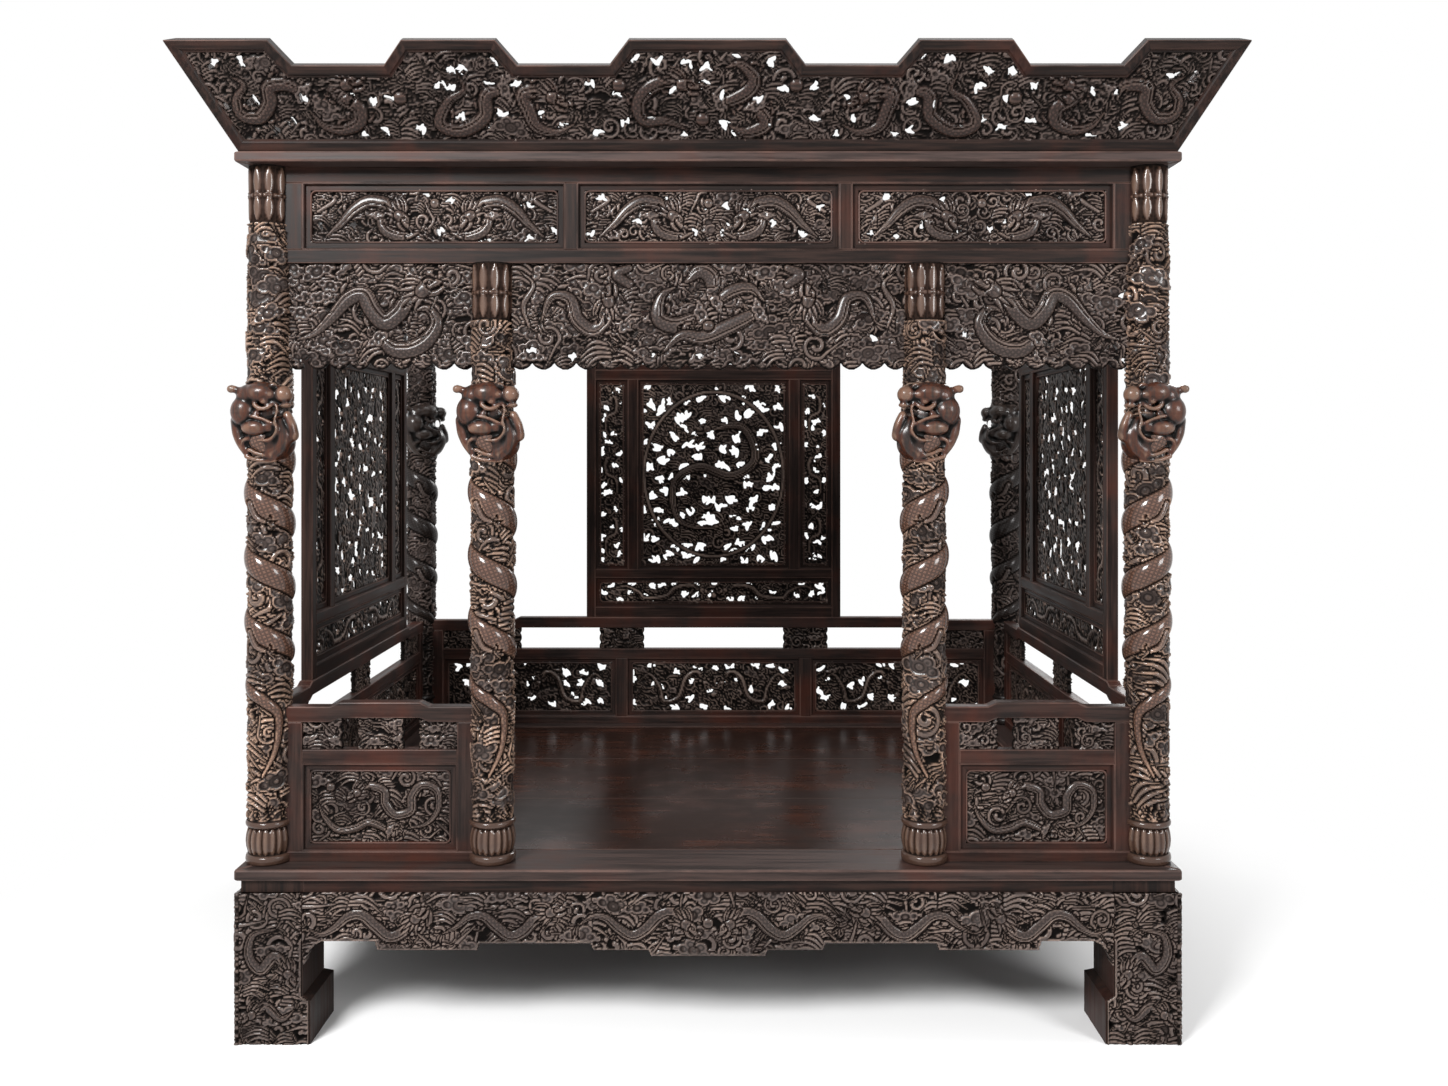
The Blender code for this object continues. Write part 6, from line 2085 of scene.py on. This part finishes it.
# %% Floor and light
def seen_directly(tree):
    """1 for what the camera sees, also in a mirror or through glass, and 0 for light on the bed."""
    path = put(tree, "ShaderNodeLightPath")
    seen = maths(tree, "MAXIMUM", path.outputs["Is Camera Ray"], path.outputs["Is Transmission Ray"])
    return maths(tree, "MAXIMUM", seen, path.outputs["Is Glossy Ray"])


def make_floor():
    bm = bmesh.new()
    bmesh.ops.create_grid(bm, x_segments=1, y_segments=1, size=30)
    mesh = bpy.data.meshes.new("studio_floor")
    bm.to_mesh(mesh)
    bm.free()
    floor = bpy.data.objects.new("studio_floor", mesh)
    bpy.context.scene.collection.objects.link(floor)
    material = bpy.data.materials.new("studio_floor")
    material.use_nodes = True
    tree = material.node_tree
    shader = tree.nodes["Principled BSDF"]
    shader.inputs["Base Color"].default_value = (0.9, 0.9, 0.9, 1)
    shader.inputs["Roughness"].default_value = 0.9
    place = put(tree, "ShaderNodeSeparateXYZ")
    tree.links.new(put(tree, "ShaderNodeTexCoord").outputs["Object"], place.inputs[0])
    beyond = []
    for axis, middle, reach in ((0, 0.0, EDGE_X), (1, BED_MIDDLE, EDGE_Y)):
        away = maths(tree, "ABSOLUTE", maths(tree, "SUBTRACT", place.outputs[axis], middle))
        beyond.append(maths(tree, "MAXIMUM", maths(tree, "SUBTRACT", away, reach), 0.0))
    distance = maths(tree, "SQRT", maths(tree, "ADD", *(maths(tree, "POWER", gap, 2.0) for gap in beyond)))
    glow = put(tree, "ShaderNodeEmission")
    mix = put(tree, "ShaderNodeMixShader")
    fade = remap(tree, distance, 0.05, 1.1)
    tree.links.new(maths(tree, "MULTIPLY", fade, seen_directly(tree)), mix.inputs[0])
    tree.links.new(shader.outputs[0], mix.inputs[1])
    tree.links.new(glow.outputs[0], mix.inputs[2])
    tree.links.new(mix.outputs[0], tree.nodes["Material Output"].inputs["Surface"])
    mesh.materials.append(material)


def soft_lamp(name, place, target, size, power):
    lamp = bpy.data.lights.new(name, "AREA")
    lamp.shape = "RECTANGLE"
    lamp.size, lamp.size_y = size
    lamp.energy = power
    holder = bpy.data.objects.new(name, lamp)
    holder.location = place
    holder.rotation_euler = (Vector(target) - Vector(place)).to_track_quat("-Z", "Y").to_euler()
    bpy.context.scene.collection.objects.link(holder)


def make_world(strength):
    world = bpy.data.worlds.new("studio")
    world.use_nodes = True
    tree = world.node_tree
    background = tree.nodes["Background"]
    background.inputs["Color"].default_value = (1, 1, 1, 1)
    tree.links.new(maths(tree, "MAXIMUM", seen_directly(tree), strength), background.inputs["Strength"])
    bpy.context.scene.world = world


make_floor()
make_world(0.32)
soft_lamp("key_light", (-2.4, -4.4, 3.8), (0, 0, 1.1), (1.7, 1.5), 430)
soft_lamp("fill_light", (3.6, -3.8, 2.6), (0, 0, 1.2), (1.6, 1.6), 130)
soft_lamp("top_light", (0, 0.2, 5.2), (0, 0, 0), (3.6, 3.0), 120)
soft_lamp("back_light", (2.8, 4.6, 3.4), (0, 0, 1.0), (2.4, 2.0), 160)
print("lamps", [lamp.name for lamp in bpy.data.lights])

# %% [markdown]
# The camera stands at eye height in front of the bed and looks straight at it, so uprights stay
# upright; a small shift moves the picture down without tilting the camera. Its lens and place come from
# the perspective of the bed's straight edges.

# %% Camera
CAMERA_PLACE = (0.037, -3.5675, 1.381)
SENSOR = 36.0
FOCAL_PIXELS = 1222.0
PHOTO_WIDTH, PHOTO_HEIGHT = 1448.0, 1086.0
HORIZON_ROW = 448.0
camera = bpy.data.cameras.new("photo_camera")
camera.sensor_width = SENSOR
camera.lens = SENSOR * FOCAL_PIXELS / PHOTO_WIDTH
camera.shift_y = (HORIZON_ROW - PHOTO_HEIGHT / 2) / PHOTO_WIDTH
holder = bpy.data.objects.new("photo_camera", camera)
holder.location = CAMERA_PLACE
holder.rotation_euler = (math.pi / 2, 0, 0)
bpy.context.scene.collection.objects.link(holder)
bpy.context.scene.camera = holder
bpy.context.scene.view_settings.view_transform = "Standard"
print("camera lens", round(camera.lens, 2), "triangles", sum(TRIANGLES.values()))
